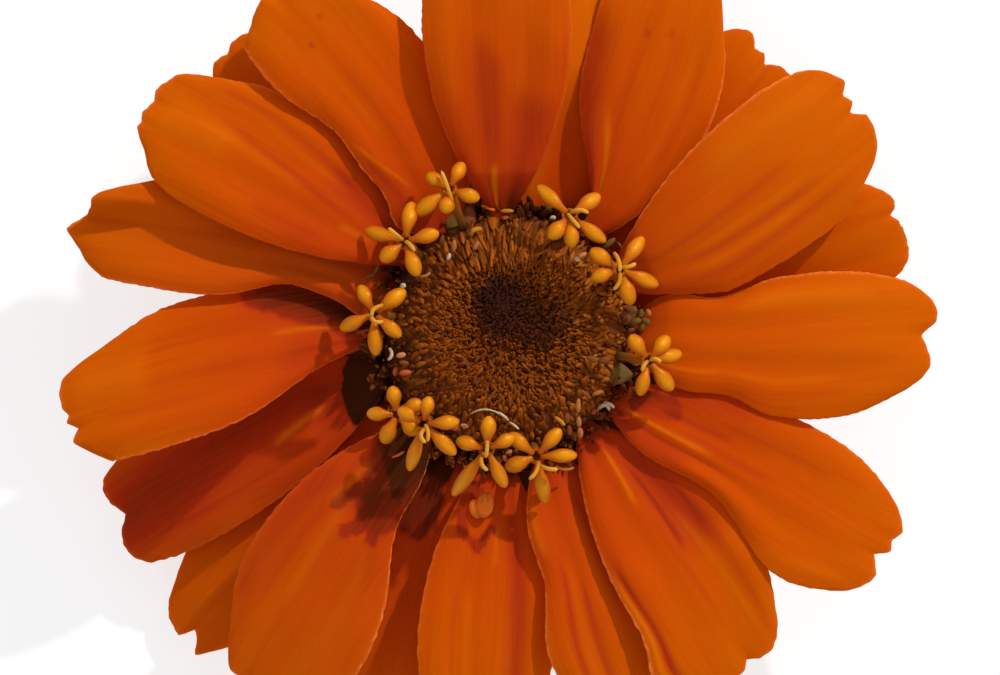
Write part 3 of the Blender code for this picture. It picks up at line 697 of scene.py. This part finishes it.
def chaffSkin(shape):
    # Foot on the spiral: radius grows as the root of the count. Each scale bends from its lean
    # towards the pit as the square of the way up, and narrows to a tip as blunt as its kind
    rng = np.random.default_rng(shape.seed)
    count = np.arange(shape.count)
    many = shape.count
    share = (count + 0.5) / many
    inner, outer = shape.radii
    radius = np.sqrt(inner ** 2 + share * (outer ** 2 - inner ** 2)) + rng.normal(0.0, 0.08, many)
    turn = goldenAngle * count + rng.normal(0.0, 2.0, many)
    level = discLevel(radius)
    side, forward = discShift(radius, level)
    footX, footY = radius * cosine(turn) + side, radius * sine(turn) + forward
    nearLean, farLean = shape.lean
    lean = nearLean + (farLean - nearLean) * share + rng.normal(0.0, shape.spread, many)
    away = np.mod(turn - rods.azimuth + 180.0, 360.0) - 180.0
    rod = bump(away, 0.0, rods.spread) * ease(radius - rods.inner) * (radius < rods.outer)
    lean = lean + rods.leanMore * rod
    swing = turn + rng.normal(0.0, 25.0, many) * (1.0 - 0.5 * rod)
    heading = unit(stack(-lean * cosine(swing), -lean * sine(swing), 1.0))
    length = rng.uniform(*shape.length, many) * (1.0 + rods.longer * rod)
    t = even(shape.rings) ** 0.8
    rise = heading[:, None] * (length[:, None] * t - shape.sunk)[..., None]
    inward = stack(-cosine(swing), -sine(swing), -0.35)
    hook = rng.uniform(0.0, 0.4, many)[:, None] * t ** 2
    path = stack(footX, footY, level)[:, None] + rise + inward[:, None] * hook[..., None]
    size = (rng.uniform(0.7, 1.3, many) * (1.0 - rods.slimmer * rod))[:, None]
    tips = (0.8, 1.0, 0.55 + 0.4 * shape.blunt, 0.08 + 0.45 * shape.blunt)
    size = size * np.interp(t, (0.0, 0.55, 0.85, 1.0), tips)
    sideways = stack(-sine(swing), cosine(swing), 0.0)[:, None]
    points = sweep(path, sideways, size * shape.halfWidth, size * shape.halfDepth, shape.sides)
    # Painted shade round the pit
    paintedShade = 0.0
    for x, y, wide, high, sharp, start, strength in pitShades:
        away = np.hypot((footX - x) / wide, (footY - y) / high)
        paintedShade = np.maximum(paintedShade, strength * (1.0 - ease(away * sharp - start)))
    pick = 0.45 + shape.variety * (rng.uniform(0.0, 1.0, many) ** 1.5 - 0.45)
    # Beyond the rim the scales are darkened, a painted shade where they show between the claws, with a few
    # pale ones
    pick = np.where(radius > 9.3, 0.25 * pick + 0.9 * (rng.uniform(0.0, 1.0, many) > 0.94), pick)
    # Painted shade in the hollows at the rim
    for x, y, reach in paintedRimShade:
        pick = pick * (0.05 + 0.95 * ease(np.hypot(footX - x, footY - y) / reach * 2.0 - 1.0))
    return skinOf(points, stack(t[None, :, None], pick[:, None, None], paintedShade[:, None, None]))


def chaffFinish():
    # Warm brown, redder or more ochre by the scale, with some tan tips, painted shade towards each
    # scale's foot between its neighbours, and painted shade round the pit
    finish = Finish("disc warm chaff", 0.85, 0.02)
    along, pick, paintedShade, _ = finish.trait("tone")
    finish.ramp(pick, (0.0, (0.11, 0.028, 0.006)), (0.3, (0.27, 0.062, 0.006)), (0.5, (0.36, 0.086, 0.006)),
                (0.8, (0.42, 0.11, 0.008)), (1.0, (0.48, 0.17, 0.016)))
    tipped = finish.times(finish.span(along, 0.6, 1.0), finish.span(pick, 0.86, 1.0, 0.0, 0.7))
    finish.lay((0.58, 0.2, 0.03), tipped)
    # Painted shade towards each scale's foot
    finish.lay((0.05, 0.016, 0.006), along, 0.1, 0.7, 0.3, 0.0)
    mottle = finish.grain((1800.0,) * 3)
    finish.lay((0.45, 0.4, 0.38), mottle, 0.35, 0.65, 0.0, 0.35, blend="MULTIPLY")
    # Painted shade in and beside the pit
    finish.lay((0.155, 0.046, 0.027), paintedShade, 0.0, 1.0, 0.0, 0.95)
    return finish.done(mottle, 0.04)


def discFinish():
    # Mottled dark brown
    finish = Finish("disc bed", 0.8, 0.06)
    mottle = finish.grain((1500.0,) * 3, 4.0)
    finish.ramp(mottle, (0.3, (0.08, 0.022, 0.007)), (0.55, (0.16, 0.04, 0.008)), (0.8, (0.22, 0.06, 0.01)))
    return finish.done(mottle, 0.15)


makePiece("disc_bed", [discSkin()], [discFinish()], "disc_brown", "disc")
warmChaff = chaffFinish()
for name, shape in chaffKinds.items():
    makePiece(name, [chaffSkin(shape)], [warmChaff], "disc_brown", "disc")
print("disc: bed and", sum(shape.count for shape in chaffKinds.values()), "scales of chaff")


# Open disc florets. A tube is places along it and radii, and turns in at the star to a small throat,
# whose first point is throatStart. Each floret has its middle by direction, distance from the axis
# and height, its lobes by direction and length, and its style branches as start, bend and end off
# the middle, in tenths.
floretShape = Values(
    lobeWidth=1.24, lobeDepth=0.86, lobeStart=0.35, usualLobe=2.6, arch=0.3, tipDroop=0.35, lean=0.35,
    footRadius=8.8, footGap=0.5, rings=20, sides=16, styleRadius=0.17, styleSteps=14, seed=300,
    tube=((0, 0.34), (0.3, 0.35), (0.6, 0.38), (0.82, 0.44), (0.95, 0.56), (1, 0.66), (1.03, 0.6),
          (1, 0.42), (0.93, 0.24), (0.84, 0.08)), throatStart=7)
florets = (
    ((111.1, 12.3, 15.2), ((62.6, 2.4), (145.7, 2.1), (216, 3.3), (262, 1.9), (-16.7, 2.5)),
     (((3, -11, 3), (0, 0, 10), (-6, 15, 6)),)),
    ((137.1, 10.8, 15.4), ((163, 3.3), (15, 2.8), (218, 2.4), (-69, 2.9), (80, 3.2)),
     (((-1, 1, 2), (-6, 5, 10), (-13, 11, 8)), ((0, 0, 2), (4, 0, 10), (8, -8, 7)))),
    ((170.8, 10.5, 15.2), ((116.6, 2.5), (36.6, 3.1), (204, 2.9), (-40, 2.8), (-87, 3.3)),
     (((9, 7, 6), (-3, 5, 11), (-1, -2, 9)), ((-2, 1, 6), (-2, -9, 10), (8, -6, 8)))),
    ((216.5, 10.6, 13.6), ((100, 2.3), (178, 2.4), (243, 2.5), (28, 2.2), (-44, 2.2)),
     ()),
    ((227.5, 9.5, 16.4), ((3.5, 2.8), (78, 2.2), (-44, 3.5), (252.6, 3.9), (150, 2.3)),
     (((2, -3, 4), (-6, -9, 11), (2, -15, 7)), ((1, 0, 3), (5, -6, 11), (3, -14, 6)))),
    ((260.9, 9.1, 15.9), ((86, 2.6), (164, 2.5), (234, 4.6), (-64, 3.4), (24, 2.4)),
     (((0, 8, 4), (1, 1, 11), (-1, -7, 5)), ((-4, -6, 5), (-6, -13, 8), (1, -17, 4)))),
    ((284.5, 9.9, 14.7), ((140, 2.8), (201, 2.6), (48.5, 2.9), (1.4, 3.2), (-79, 3.8)),
     (((2, -4, 3), (1, -14, 10), (-6, -18, 6)), ((3, -7, 3), (9, -11, 10), (17, -10, 7)))),
    ((349.7, 11.5, 15), ((125, 2.5), (50, 2.5), (13, 2.7), (256, 2.8), (-50, 3)),
     (((1, 0, 2), (5, 4, 10), (10, -1, 7)), ((0, 0, 2), (-4, -2, 10), (-5, -8, 6)))),
    ((29.7, 10.4, 15.4), ((146, 2.8), (197, 2.3), (-71, 2.9), (-22, 3.3), (54, 3.2)),
     (((-5, 14, 8), (1, 8, 11), (0, -2, 9)), ((1, 2, 7), (7, 1, 12), (13, 5, 8)),
      ((0, -2, 9), (2, -10, 9), (-5, -16, 5)))),
    ((61.5, 10.7, 15.6), ((137, 3.5), (35, 2.9), (228, 2.4), (-86, 2.5), (-36, 3.5)),
     (((-2, 2, 3), (2, -3, 10), (8, -10, 6)), ((0, 2, 3), (7, 7, 11), (15, 2, 7)))),
)


def lobesSkin(lobes, middle, outward, rng):
    # Each lobe's line runs out level in the star's leaning plane, arches as a sine and droops as a
    # square at its tip. Its half width eases from a narrow foot to full and rounds off as an ellipse
    shape = floretShape
    turn, length = np.array(lobes).T
    length = length[:, None]
    across = len(lobes), 1
    t = 1.0 - (1.0 - even(shape.rings)) ** 1.5
    away = shape.lobeStart + (length - shape.lobeStart) * t
    x, y = away * cosine(turn)[:, None], away * sine(turn)[:, None]
    arch = shape.arch * rng.uniform(0.6, 1.4, across)
    droop = shape.tipDroop * rng.uniform(0.4, 1.6, across) * (length / shape.usualLobe) ** 2
    z = -shape.lean * (x * outward[0] + y * outward[1]) + arch * np.sin(math.pi * t) - droop * t ** 2
    swell = 0.42 + 0.58 * ease((t - 0.08) / 0.5)
    plump = swell * np.sqrt(np.clip(1.0 - held((t - 0.58) / 0.42) ** 2.2, 0.0012, 1.0))
    wide = 0.5 * shape.lobeWidth * rng.uniform(0.9, 1.1, across) * plump
    deep = wide * shape.lobeDepth / shape.lobeWidth
    sideways = stack(-sine(turn), cosine(turn), 0.0)[:, None]
    points = sweep(middle + stack(x, y, z), sideways, wide, deep, shape.sides)
    beside = np.abs(np.cos(around(shape.sides, fullTurn)))
    return skinOf(points, stack(t[None, :, None], rng.uniform(0.0, 1.0, across)[..., None], beside))


def tubeSkin(middle, foot):
    # A round tube from its foot on the disc, flaring at the star
    shape = floretShape
    axis = middle - foot
    places, radii = np.array(shape.tube).T
    path = (foot + places[:, None] * axis)[None]
    heading = np.broadcast_to(unit(axis), path.shape)
    points = sweep(path, np.array((1.0, 0.0, 0.0)), radii[None], radii[None], shape.sides, heading)
    inside = np.arange(len(places)) >= shape.throatStart
    return skinOf(points, stack(held(places)[None, :, None], inside[None, :, None] * 1.0, 0.0), 1)


def threadSkin(path, radius, finish, pick=0.0, sides=8):
    # A thin round thread along a path, blunt at both ends
    t = even(len(path))
    half = radius * np.sqrt(np.clip(1.0 - np.abs(2.0 * t - 1.0) ** 8, 0.02, 1.0))[None]
    points = sweep(path[None], np.array((0.3, 0.2, 1.0)), half, half, sides)
    return skinOf(points, stack(t[None, :, None], pick, 0.0), finish)


def floretSkins(number, place, lobes, styles):
    # The lobes, the tube down to its foot on the disc, and the styles
    shape = floretShape
    direction, distance, height = place
    outward = np.array((cosine(direction), sine(direction)))
    middle = np.array((*(distance * outward), height))
    footPlace = shape.footRadius * outward
    foot = np.array((*footPlace, onDisc(*footPlace) - shape.footGap))
    rng = np.random.default_rng(shape.seed + number)
    skins = [lobesSkin(lobes, middle, outward, rng), tubeSkin(middle, foot)]
    for style in styles:
        path = middle + curveThrough(*np.array(style) / 10, shape.styleSteps)
        skins.append(threadSkin(path, shape.styleRadius, 2))
    return skins


def lobeFinish():
    # Golden orange, redder at the foot, with painted shade along the sides, a painted highlight along the
    # ridge and a fine fuzz
    finish = Finish("floret golden velvet", specular=0.55, **{"Specular Tint": (1.0, 0.66, 0.1, 1.0)})
    along, pick, beside, _ = finish.trait("tone")
    finish.ramp(along, (0.05, (0.42, 0.062, 0.003)), (0.38, (0.6, 0.13, 0.002)),
                (0.7, (0.69, 0.215, 0.002)), (1.0, (0.62, 0.17, 0.002)))
    finish.lay((0.6, 0.12, 0.002), pick, 0.0, 1.0, 0.0, 0.45)
    # Painted shade along each lobe's sides
    finish.lay((0.38, 0.062, 0.002), beside, 0.45, 1.0, 0.0, 0.75)
    # Painted highlight along the top of each lobe
    ridgeHighlight = finish.times(finish.span(beside, 0.05, 0.55, 0.65, 0.0), finish.span(along, 0.25, 0.6))
    finish.lay((0.76, 0.3, 0.004), ridgeHighlight)
    fuzz = finish.grain((7000.0,) * 3, 2.0)
    finish.lay((0.74, 0.28, 0.004), fuzz, 0.35, 0.7, 0.0, 0.2)
    finish.tree.links.new(finish.span(fuzz, 0.2, 0.8, 0.26, 0.42), finish.shader.inputs["Roughness"])
    return finish.done(fuzz, 0.04)


def tubeFinish():
    # Olive at the foot, orange upwards, and painted shade darkening the throat
    finish = Finish("floret tube", 0.6, 0.08)
    along, inside, _, _ = finish.trait("tone")
    finish.ramp(along, (0.0, (0.09, 0.07, 0.012)), (0.5, (0.28, 0.075, 0.008)), (1.0, (0.48, 0.11, 0.004)))
    # Painted shade inside the throat
    finish.lay((0.22, 0.045, 0.004), inside)
    mottle = finish.grain((3000.0, 3000.0, 1500.0))
    finish.lay((0.5, 0.5, 0.5), mottle, 0.35, 0.65, 0.0, 0.3, blend="MULTIPLY")
    return finish.done(mottle, 0.04)


def styleFinish():
    # Gold, paler to the tip, with a fine fuzz
    finish = Finish("style pale gold", 0.5, 0.2, **{"Specular Tint": (1.0, 0.7, 0.3, 1.0)})
    along = finish.trait("tone")[0]
    finish.ramp(along, (0.0, (0.5, 0.17, 0.006)), (0.5, (0.68, 0.28, 0.012)), (0.85, (0.72, 0.34, 0.03)),
                (1.0, (0.74, 0.36, 0.1)))
    fuzz = finish.grain((8000.0,) * 3, 2.0)
    finish.lay((0.8, 0.5, 0.1), fuzz, 0.4, 0.7, 0.0, 0.25)
    return finish.done(fuzz, 0.05)


floretFinishes = [lobeFinish(), tubeFinish(), styleFinish()]
for number, floret in enumerate(florets):
    name = f"floret_{number + 1:02d}"
    makePiece("open_" + name, floretSkins(number, *floret), floretFinishes, "floret_yellow", "star_" + name)
print("open florets:", len(florets))


# Small pieces caught round the disc: buds by middle, height over the disc, direction, length, width and
# colour, threads by three places, height, radius and colour, and broad scales as buds. Each colour is a
# place on the ramp of its finish.
ringColours = {
    "orange": (0.0, (0.88, 0.17, 0.008)), "gold": (0.15, (0.62, 0.24, 0.02)),
    "tan": (0.3, (0.46, 0.17, 0.04)), "brown": (0.45, (0.24, 0.065, 0.014)),
    "pink": (0.6, (0.58, 0.1, 0.03)), "blush": (0.75, (0.68, 0.27, 0.1)),
    "white": (0.9, (0.66, 0.52, 0.3)), "olive": (1.0, (0.17, 0.095, 0.018)),
}
ringShape = Values(
    discRadius=9.2, clawHeight=10.0, steps=12, budSides=10, scaleColumns=9, scaleThickness=0.18)
ringBuds = (
    (-10.55, 6.2, 2.2, -35, 0.9, 0.4, "blush"), (-8.1, 3.9, 1.2, 20, 0.5, 0.45, "white"),
    (-10.2, 5.2, 1.8, 60, 0.9, 0.25, "olive"), (-10.7, 4.7, 1.8, 20, 0.8, 0.25, "olive"),
    (-4.05, 7.05, 0.9, 85, 1, 0.45, "tan"), (-4.45, 6.2, 0.8, 70, 0.6, 0.35, "white"),
    (-2.3, 7.05, 0.9, 60, 0.8, 0.4, "tan"), (-5, 7.5, 0.8, 80, 0.9, 0.4, "brown"),
    (0.15, 9.85, 1.4, 0, 1.1, 0.35, "gold"), (-0.7, 9.2, 1, 0, 0.4, 0.4, "tan"),
    (-1.35, 10.1, 1.4, -20, 1.2, 0.3, "orange"), (3.5, 10.15, 1.4, 40, 0.6, 0.45, "olive"),
    (3.8, 9.3, 1.2, 10, 0.5, 0.4, "white"), (6.1, 6.3, 1.2, 30, 0.8, 0.4, "blush"),
    (5.7, 6, 1.1, -30, 0.5, 0.35, "white"), (8.3, 7.3, 1.6, 40, 1.2, 0.5, "olive"),
    (9.7, -0.8, 1.6, 0, 0.55, 0.5, "white"), (9.3, -0.4, 1.4, 30, 0.5, 0.45, "tan"),
    (7.1, -6.1, 1.2, 0, 0.8, 0.5, "pink"), (-8.25, -1.6, 1.1, 10, 0.8, 0.45, "blush"),
    (-7.9, -3, 1.1, 5, 1, 0.5, "pink"), (-8.7, -2.9, 1.1, 80, 0.7, 0.4, "pink"),
    (-8, -2.2, 1, -10, 0.8, 0.4, "brown"), (0.3, -9.3, 1.5, 40, 0.6, 0.45, "blush"),
    (0, -9.8, 1.5, -50, 0.6, 0.45, "pink"), (-3.9, -7.4, 1.2, 10, 0.7, 0.4, "pink"),
    (-3.2, -7.2, 1.2, -15, 0.7, 0.35, "blush"), (5.8, -5.6, 1.3, 88, 1.2, 0.4, "tan"),
    (5.85, -6.9, 1.3, 92, 0.9, 0.45, "tan"), (5.95, -7.8, 1.3, 90, 0.9, 0.55, "tan"),
    (4.9, -6.6, 1.2, 85, 0.9, 0.5, "brown"), (5.1, -7.6, 1.2, 95, 0.8, 0.45, "brown"),
    (6.4, -4.7, 1.2, 140, 1.1, 0.35, "brown"), (7.3, -4.6, 1.2, 20, 0.9, 0.35, "tan"),
    (7.9, -2, 1.1, 10, 1, 0.6, "brown"), (6.9, -1.9, 1, -20, 0.9, 0.55, "brown"),
    (10.1, 1.9, 1.4, 30, 0.8, 0.5, "olive"), (10.8, 1.7, 1.5, 80, 0.7, 0.45, "olive"),
    (11.2, 1.1, 1.5, -30, 0.8, 0.5, "olive"), (10.4, 1.1, 1.5, 10, 0.9, 0.55, "olive"),
    (10.9, 0.6, 1.4, 60, 0.7, 0.45, "olive"), (11.4, 1.8, 1.4, -60, 0.6, 0.4, "tan"),
    (9.8, 1.2, 1.3, 100, 0.7, 0.45, "brown"), (10, 0.4, 1.2, 20, 0.6, 0.4, "olive"),
    (-1.6, -13.5, 1.7, 78, 2.1, 1.4, "orange"), (-2.3, -13.8, 1.4, 105, 1.6, 1.1, "orange"),
)
ringThreads = (
    ((-2.7, 7.8), (-2.7, 8.5), (-1.8, 8.4), 1.2, 0.2, "gold"),
    ((-6.9, 4.7), (-6.3, 4.5), (-5.9, 5), 0.9, 0.12, "tan"),
    ((7.3, -6), (8.1, -5.1), (8.3, -6), 1.6, 0.16, "white"),
    ((7.8, -5.4), (8.3, -5.3), (8.7, -5.8), 1.7, 0.14, "white"),
    ((-9.2, -1), (-8.7, -1.6), (-9.3, -2), 1.8, 0.14, "white"),
    ((-2.8, -6.3), (-1.4, -5.3), (0.2, -6.7), 1.6, 0.07, "white"),
    ((-0.7, -6.1), (-0.2, -6.2), (0.3, -6.8), 1.7, 0.11, "white"),
    ((0.3, -6.9), (0.8, -7.1), (1.1, -7.5), 1.8, 0.1, "white"),
    ((3.9, -6.5), (4.4, -6.7), (4.7, -7.2), 1.8, 0.16, "gold"),
    ((-9.5, -9.9), (-8.8, -9.8), (-7.9, -9.2), 1.4, 0.14, "orange"),
    ((-5.4, -8), (-4.6, -8.1), (-4.1, -9), 2, 0.1, "white"),
    ((-4.9, -7.7), (-5, -8.3), (-5.6, -8.6), 1.8, 0.09, "white"),
    ((3.9, -10.4), (4.7, -10.9), (5.5, -10.5), 2.4, 0.12, "tan"),
    ((-1.7, -12.5), (-1.5, -12.8), (-1.6, -13.3), 2.5, 0.12, "gold"),
    ((-1.3, 10.6), (-0.8, 10.1), (-0.4, 9.6), 1.2, 0.1, "tan"),
    ((9.6, 6.2), (9.4, 6.9), (8.9, 7.4), 1.6, 0.1, "olive"),
)
ringScales = (
    (8.85, -3.05, 1.6, 172, 2.5, 1.7, "olive"), (-4, 9, 1.1, 270, 2.4, 1.5, "olive"),
    (-2.9, 9.3, 0.9, 265, 2, 1.2, "brown"), (9.6, 1.6, 1.3, 30, 2, 1.5, "brown"),
    (10.2, -7.6, 0.7, -35, 2.2, 1.6, "brown"),
)


def ringLevel(x, y):
    # The disc's own height inside it, and the claws' height outside
    inside = math.hypot(x, y) < ringShape.discRadius
    return float(onDisc(x, y)) if inside else ringShape.clawHeight


def ringSkins():
    # Buds are ellipses turned about their length, threads follow a curve, and scales are cupped sheets
    # with a pointed half width
    shape = ringShape
    skins = []
    t = 0.5 - 0.5 * np.cos(even(shape.steps, 0.04, math.pi - 0.04))
    for x, y, over, direction, length, width, colour in ringBuds:
        side, forward = turned((t - 0.5) * length, 0.0, direction)
        middle = stack(x + side, y + forward, ringLevel(x, y) + over + 0.2 * t)[None]
        half = 0.5 * width * np.sqrt(np.clip(1.0 - (2.0 * t - 1.0) ** 2, 0.003, 1.0))[None]
        sideways = np.array((-sine(direction), cosine(direction), 0.0))
        points = sweep(middle, sideways, half, 0.8 * half, shape.budSides)
        skins.append(skinOf(points, stack(t[None, :, None], ringColours[colour][0], 0.0)))
    for start, bend, end, over, radius, colour in ringThreads:
        level = ringLevel(*bend) + over
        path = curveThrough((*start, level - 0.3), (*bend, level + 0.3), (*end, level - 0.1), shape.steps)
        skins.append(threadSkin(path, radius, 0, ringColours[colour][0]))
    t, v = grid(even(shape.steps), even(shape.scaleColumns, -1.0))
    for x, y, over, direction, length, width, colour in ringScales:
        across = v * 0.5 * width * np.sin(math.pi * (0.03 + 0.94 * t)) ** 0.9
        side, forward = turned((t - 0.5) * length, across, direction)
        middle = stack(x + side, y + forward, ringLevel(x, y) + over + 0.25 * t - 0.15 * v ** 2)
        tone = stack(t, ringColours[colour][0], np.abs(v))
        skins.append(sheetSkin(middle, np.full(t.shape, shape.scaleThickness), tone))
    return skins


def ringFinish():
    # Each fragment's own colour, mottled and darker at its foot
    finish = Finish("ring fragments", 0.6, 0.12)
    along, pick, _, _ = finish.trait("tone")
    finish.ramp(pick, *ringColours.values())
    mottle = finish.grain((2600.0,) * 3, 4.0)
    finish.lay((0.55, 0.4, 0.25), mottle, 0.35, 0.65, 0.0, 0.35, blend="MULTIPLY")
    finish.lay((0.16, 0.05, 0.012), along, 0.0, 0.5, 0.35, 0.0)
    return finish.done(mottle, 0.05)


makePiece("ring_fragments", ringSkins(), [ringFinish()], "disc_brown")
print("round the disc:", len(ringBuds), "buds,", len(ringThreads), "threads and", len(ringScales), "scales")


# Involucre: the cup's outline from the cut spot to its rim, and rows of bracts as in the frame, each
# by count, height of the middle, width and length
cupShape = Values(
    outline=((0, 0), (3.2, 0), (5.6, 0.8), (7.8, 2.2), (9.3, 4.2), (10, 6.2), (10, 7.1), (9.6, 7.4),
             (0, 7.4)),
    rings=60, sides=96, inset=0.05)
bracts = Values(
    rows=((9, 1.9, 4.8, 4.6), (12, 3.5, 5, 5), (14, 5.1, 5, 4.8)), freeTip=(10.05, 9.6),
    standOff=(0.08, 0.85), thickness=0.34, camber=0.35, steps=20, columns=13, fringe=0.16, seed=21)
collar = Values(
    count=20, radii=(9.2, 14.6), heights=(7.15, 6.7), width=4.8, thickness=0.18, steps=12, columns=9,
    seed=22)


def cupSkin():
    # The outline turned about the axis
    radius, height, turn = lathe(cupShape)
    points = stack(radius * cosine(turn), radius * sine(turn), height)[None]
    return skinOf(points, stack(radius / 10.0, height / 7.4, 0.0), 1)


def bractSkins():
    # Each bract lies up the cup's outline, stands off it more towards its tip, is bent round the cup
    # and cambered, and its half width follows a broad rounded scale with a finely fringed margin
    outline = np.array((*cupShape.outline[1:7], bracts.freeTip))
    outX, outZ = outline.T
    run = runOf(outline)
    rng = np.random.default_rng(bracts.seed)
    skins = []
    near, far = bracts.standOff
    t, v = grid(1.0 - (1.0 - even(bracts.steps)) ** 1.3, even(bracts.columns, -1.0))
    for row, (count, middleHeight, width, length) in enumerate(bracts.rows):
        centre = np.interp(middleHeight, outZ, run)
        for place in range(count):
            turn = 360.0 * (place + 0.5 * (row % 2)) / count + rng.normal(0.0, 1.5)
            size = rng.uniform(0.94, 1.08)
            way = centre + (t - 0.5) * length * size
            fringe = bracts.fringe * (rng.uniform(-1.0, 1.0, bracts.columns)[None, :] * t ** 6)
            way = way + fringe - 0.9 * np.abs(v) ** 2.5 * t ** 3
            half = 0.5 * width * size * np.sin(math.pi * (0.14 + 0.62 * t)) ** 0.6
            uneven = rng.uniform(-1.0, 1.0, bracts.steps)[:, None]
            half = half + bracts.fringe * 0.5 * np.abs(v) ** 8 * uneven
            radius, height = np.interp(way, run, outX), np.interp(way, run, outZ)
            off = near + (far - near) * t ** 1.3 - bracts.camber * v ** 2 * t + 0.1 * row
            angle = turn + np.degrees(v * half / np.maximum(radius, 3.0))
            slope = np.clip(np.interp(way, run, np.gradient(outZ, run)), 0.15, 1.0)
            out = radius + off * slope
            down = np.maximum(height - off * np.sqrt(1.0 - slope ** 2), 0.35)
            edge = np.maximum(np.abs(v) ** 4, t ** 12)
            middle = stack(out * cosine(angle), out * sine(angle), down)
            tone = stack(t, edge, rng.uniform(0.0, 1.0))
            skins.append(sheetSkin(middle, bracts.thickness * (1.0 - 0.65 * edge), tone))
    return skins


def collarSkins():
    # The innermost bracts spread level between the petals' claws: radius and height grow evenly, the
    # half width is a rounded scale's, and neighbours lie a little over and under each other
    rng = np.random.default_rng(collar.seed)
    t, v = grid(even(collar.steps), even(collar.columns, -1.0))
    inner, outer = collar.radii
    low, high = collar.heights
    skins = []
    for place in range(collar.count):
        turn = 360.0 * place / collar.count + rng.normal(0.0, 1.5)
        radius = inner + (outer - inner) * t * rng.uniform(0.94, 1.0) - 0.5 * v ** 2 * t
        half = 0.5 * collar.width * np.sin(math.pi * (0.24 + 0.6 * t)) ** 0.6
        height = low + (high - low) * t + 0.16 * (place % 2) - 0.2 * v ** 2
        angle = turn + np.degrees(v * half / radius)
        middle = stack(radius * cosine(angle), radius * sine(angle), height)
        # Each collar bract takes the dark margin colour all over, a painted shade where it shows between the
        # claws
        tone = stack(t, 1.0, rng.uniform(0.0, 1.0))
        skins.append(sheetSkin(middle, np.full(t.shape, collar.thickness), tone))
    return skins


def bractFinish():
    # Green, mottled, with a dark fringed margin
    finish = Finish("bract green", 0.6, 0.15)
    along, edge, pick, _ = finish.trait("tone")
    finish.ramp(along, (0.0, (0.14, 0.2, 0.05)), (0.6, (0.085, 0.15, 0.03)), (1.0, (0.06, 0.1, 0.025)))
    finish.lay((0.16, 0.17, 0.04), pick, 0.0, 1.0, 0.0, 0.4)
    mottle = finish.grain((900.0, 900.0, 300.0), 4.0)
    finish.lay((0.05, 0.09, 0.02), mottle, 0.35, 0.7, 0.0, 0.45)
    finish.lay((0.085, 0.022, 0.007), edge, 0.45, 0.95)
    return finish.done(mottle, 0.06)


def cupFinish():
    # Green, with a pale fibrous pith inside a darker rind on the cut spot
    finish = Finish("cup green", 0.6)
    radius, height, _, _ = finish.trait("tone")
    mottle = finish.grain((1200.0, 1200.0, 500.0), 4.0)
    finish.ramp(radius, (0.0, (0.55, 0.58, 0.3)), (0.2, (0.46, 0.52, 0.22)), (0.27, (0.2, 0.3, 0.08)),
                (0.32, (0.1, 0.17, 0.035)))
    side = finish.mix(finish.span(mottle, 0.35, 0.65), (0.12, 0.18, 0.04), (0.07, 0.12, 0.03))
    finish.lay(side, height, 0.0, 0.02)
    return finish.done(mottle, 0.08)


cupSkins = [cupSkin(), *bractSkins(), *collarSkins()]
makePiece("bract_cup", cupSkins, [bractFinish(), cupFinish()], "bract_green", "involucre")
print("involucre:", sum(row[0] for row in bracts.rows), "bracts and", collar.count, "round the collar")


# The studio: a pale floor, one lamp to the upper right, a soft pale surround, and the camera above
studio = Values(
    floorSize=3000.0, floorColour=(0.38, 0.38, 0.38), floorGlow=0.68, floorGap=0.1, lampAzimuth=52.0,
    lampElevation=33.0, lampSize=2.0, lampStrength=2.15, surround=(1.0, 0.98, 1.0), surroundStrength=0.62,
    cameraHeight=620.0, framedWidth=1000 / 12.6, framedHeight=12.0, aim=(-0.397, -0.198), sensorWidth=36.0)


def addFloor():
    half = 0.5 * studio.floorSize * mm
    mesh = bpy.data.meshes.new("pale_floor")
    corners = [(-half, -half, 0.0), (half, -half, 0.0), (half, half, 0.0), (-half, half, 0.0)]
    mesh.from_pydata(corners, [], [(0, 1, 2, 3)])
    paper = Finish("floor paper", 0.9, **{
        "Base Color": (*studio.floorColour, 1.0), "Emission Color": (1.0, 1.0, 1.0, 1.0),
        "Emission Strength": studio.floorGlow})
    mesh.materials.append(paper.made)
    floor = addToScene("pale_floor", mesh)
    floor.location.z = -studio.floorGap * mm


def addLight():
    lamp = bpy.data.lights.new("key lamp", "SUN")
    lamp.angle = math.radians(studio.lampSize)
    lamp.energy = studio.lampStrength
    level = cosine(studio.lampElevation)
    towards = Vector((*turned(level, 0.0, studio.lampAzimuth), sine(studio.lampElevation)))
    addToScene("key lamp", lamp).rotation_euler = towards.to_track_quat("Z", "Y").to_euler()
    world = bpy.data.worlds.new("pale surround")
    world.use_nodes = True
    background = world.node_tree.nodes["Background"]
    background.inputs["Color"].default_value = (*studio.surround, 1.0)
    background.inputs["Strength"].default_value = studio.surroundStrength
    bpy.context.scene.world = world


def addCamera():
    lens = bpy.data.cameras.new("overhead camera")
    lens.sensor_width = studio.sensorWidth
    lens.lens = studio.sensorWidth * studio.cameraHeight / studio.framedWidth
    camera = addToScene("overhead camera", lens)
    camera.location = Vector((*studio.aim, studio.framedHeight + studio.cameraHeight)) * mm
    bpy.context.scene.camera = camera
    bpy.context.scene.view_settings.view_transform = "Standard"


addFloor()
addLight()
addCamera()
print("studio ready")
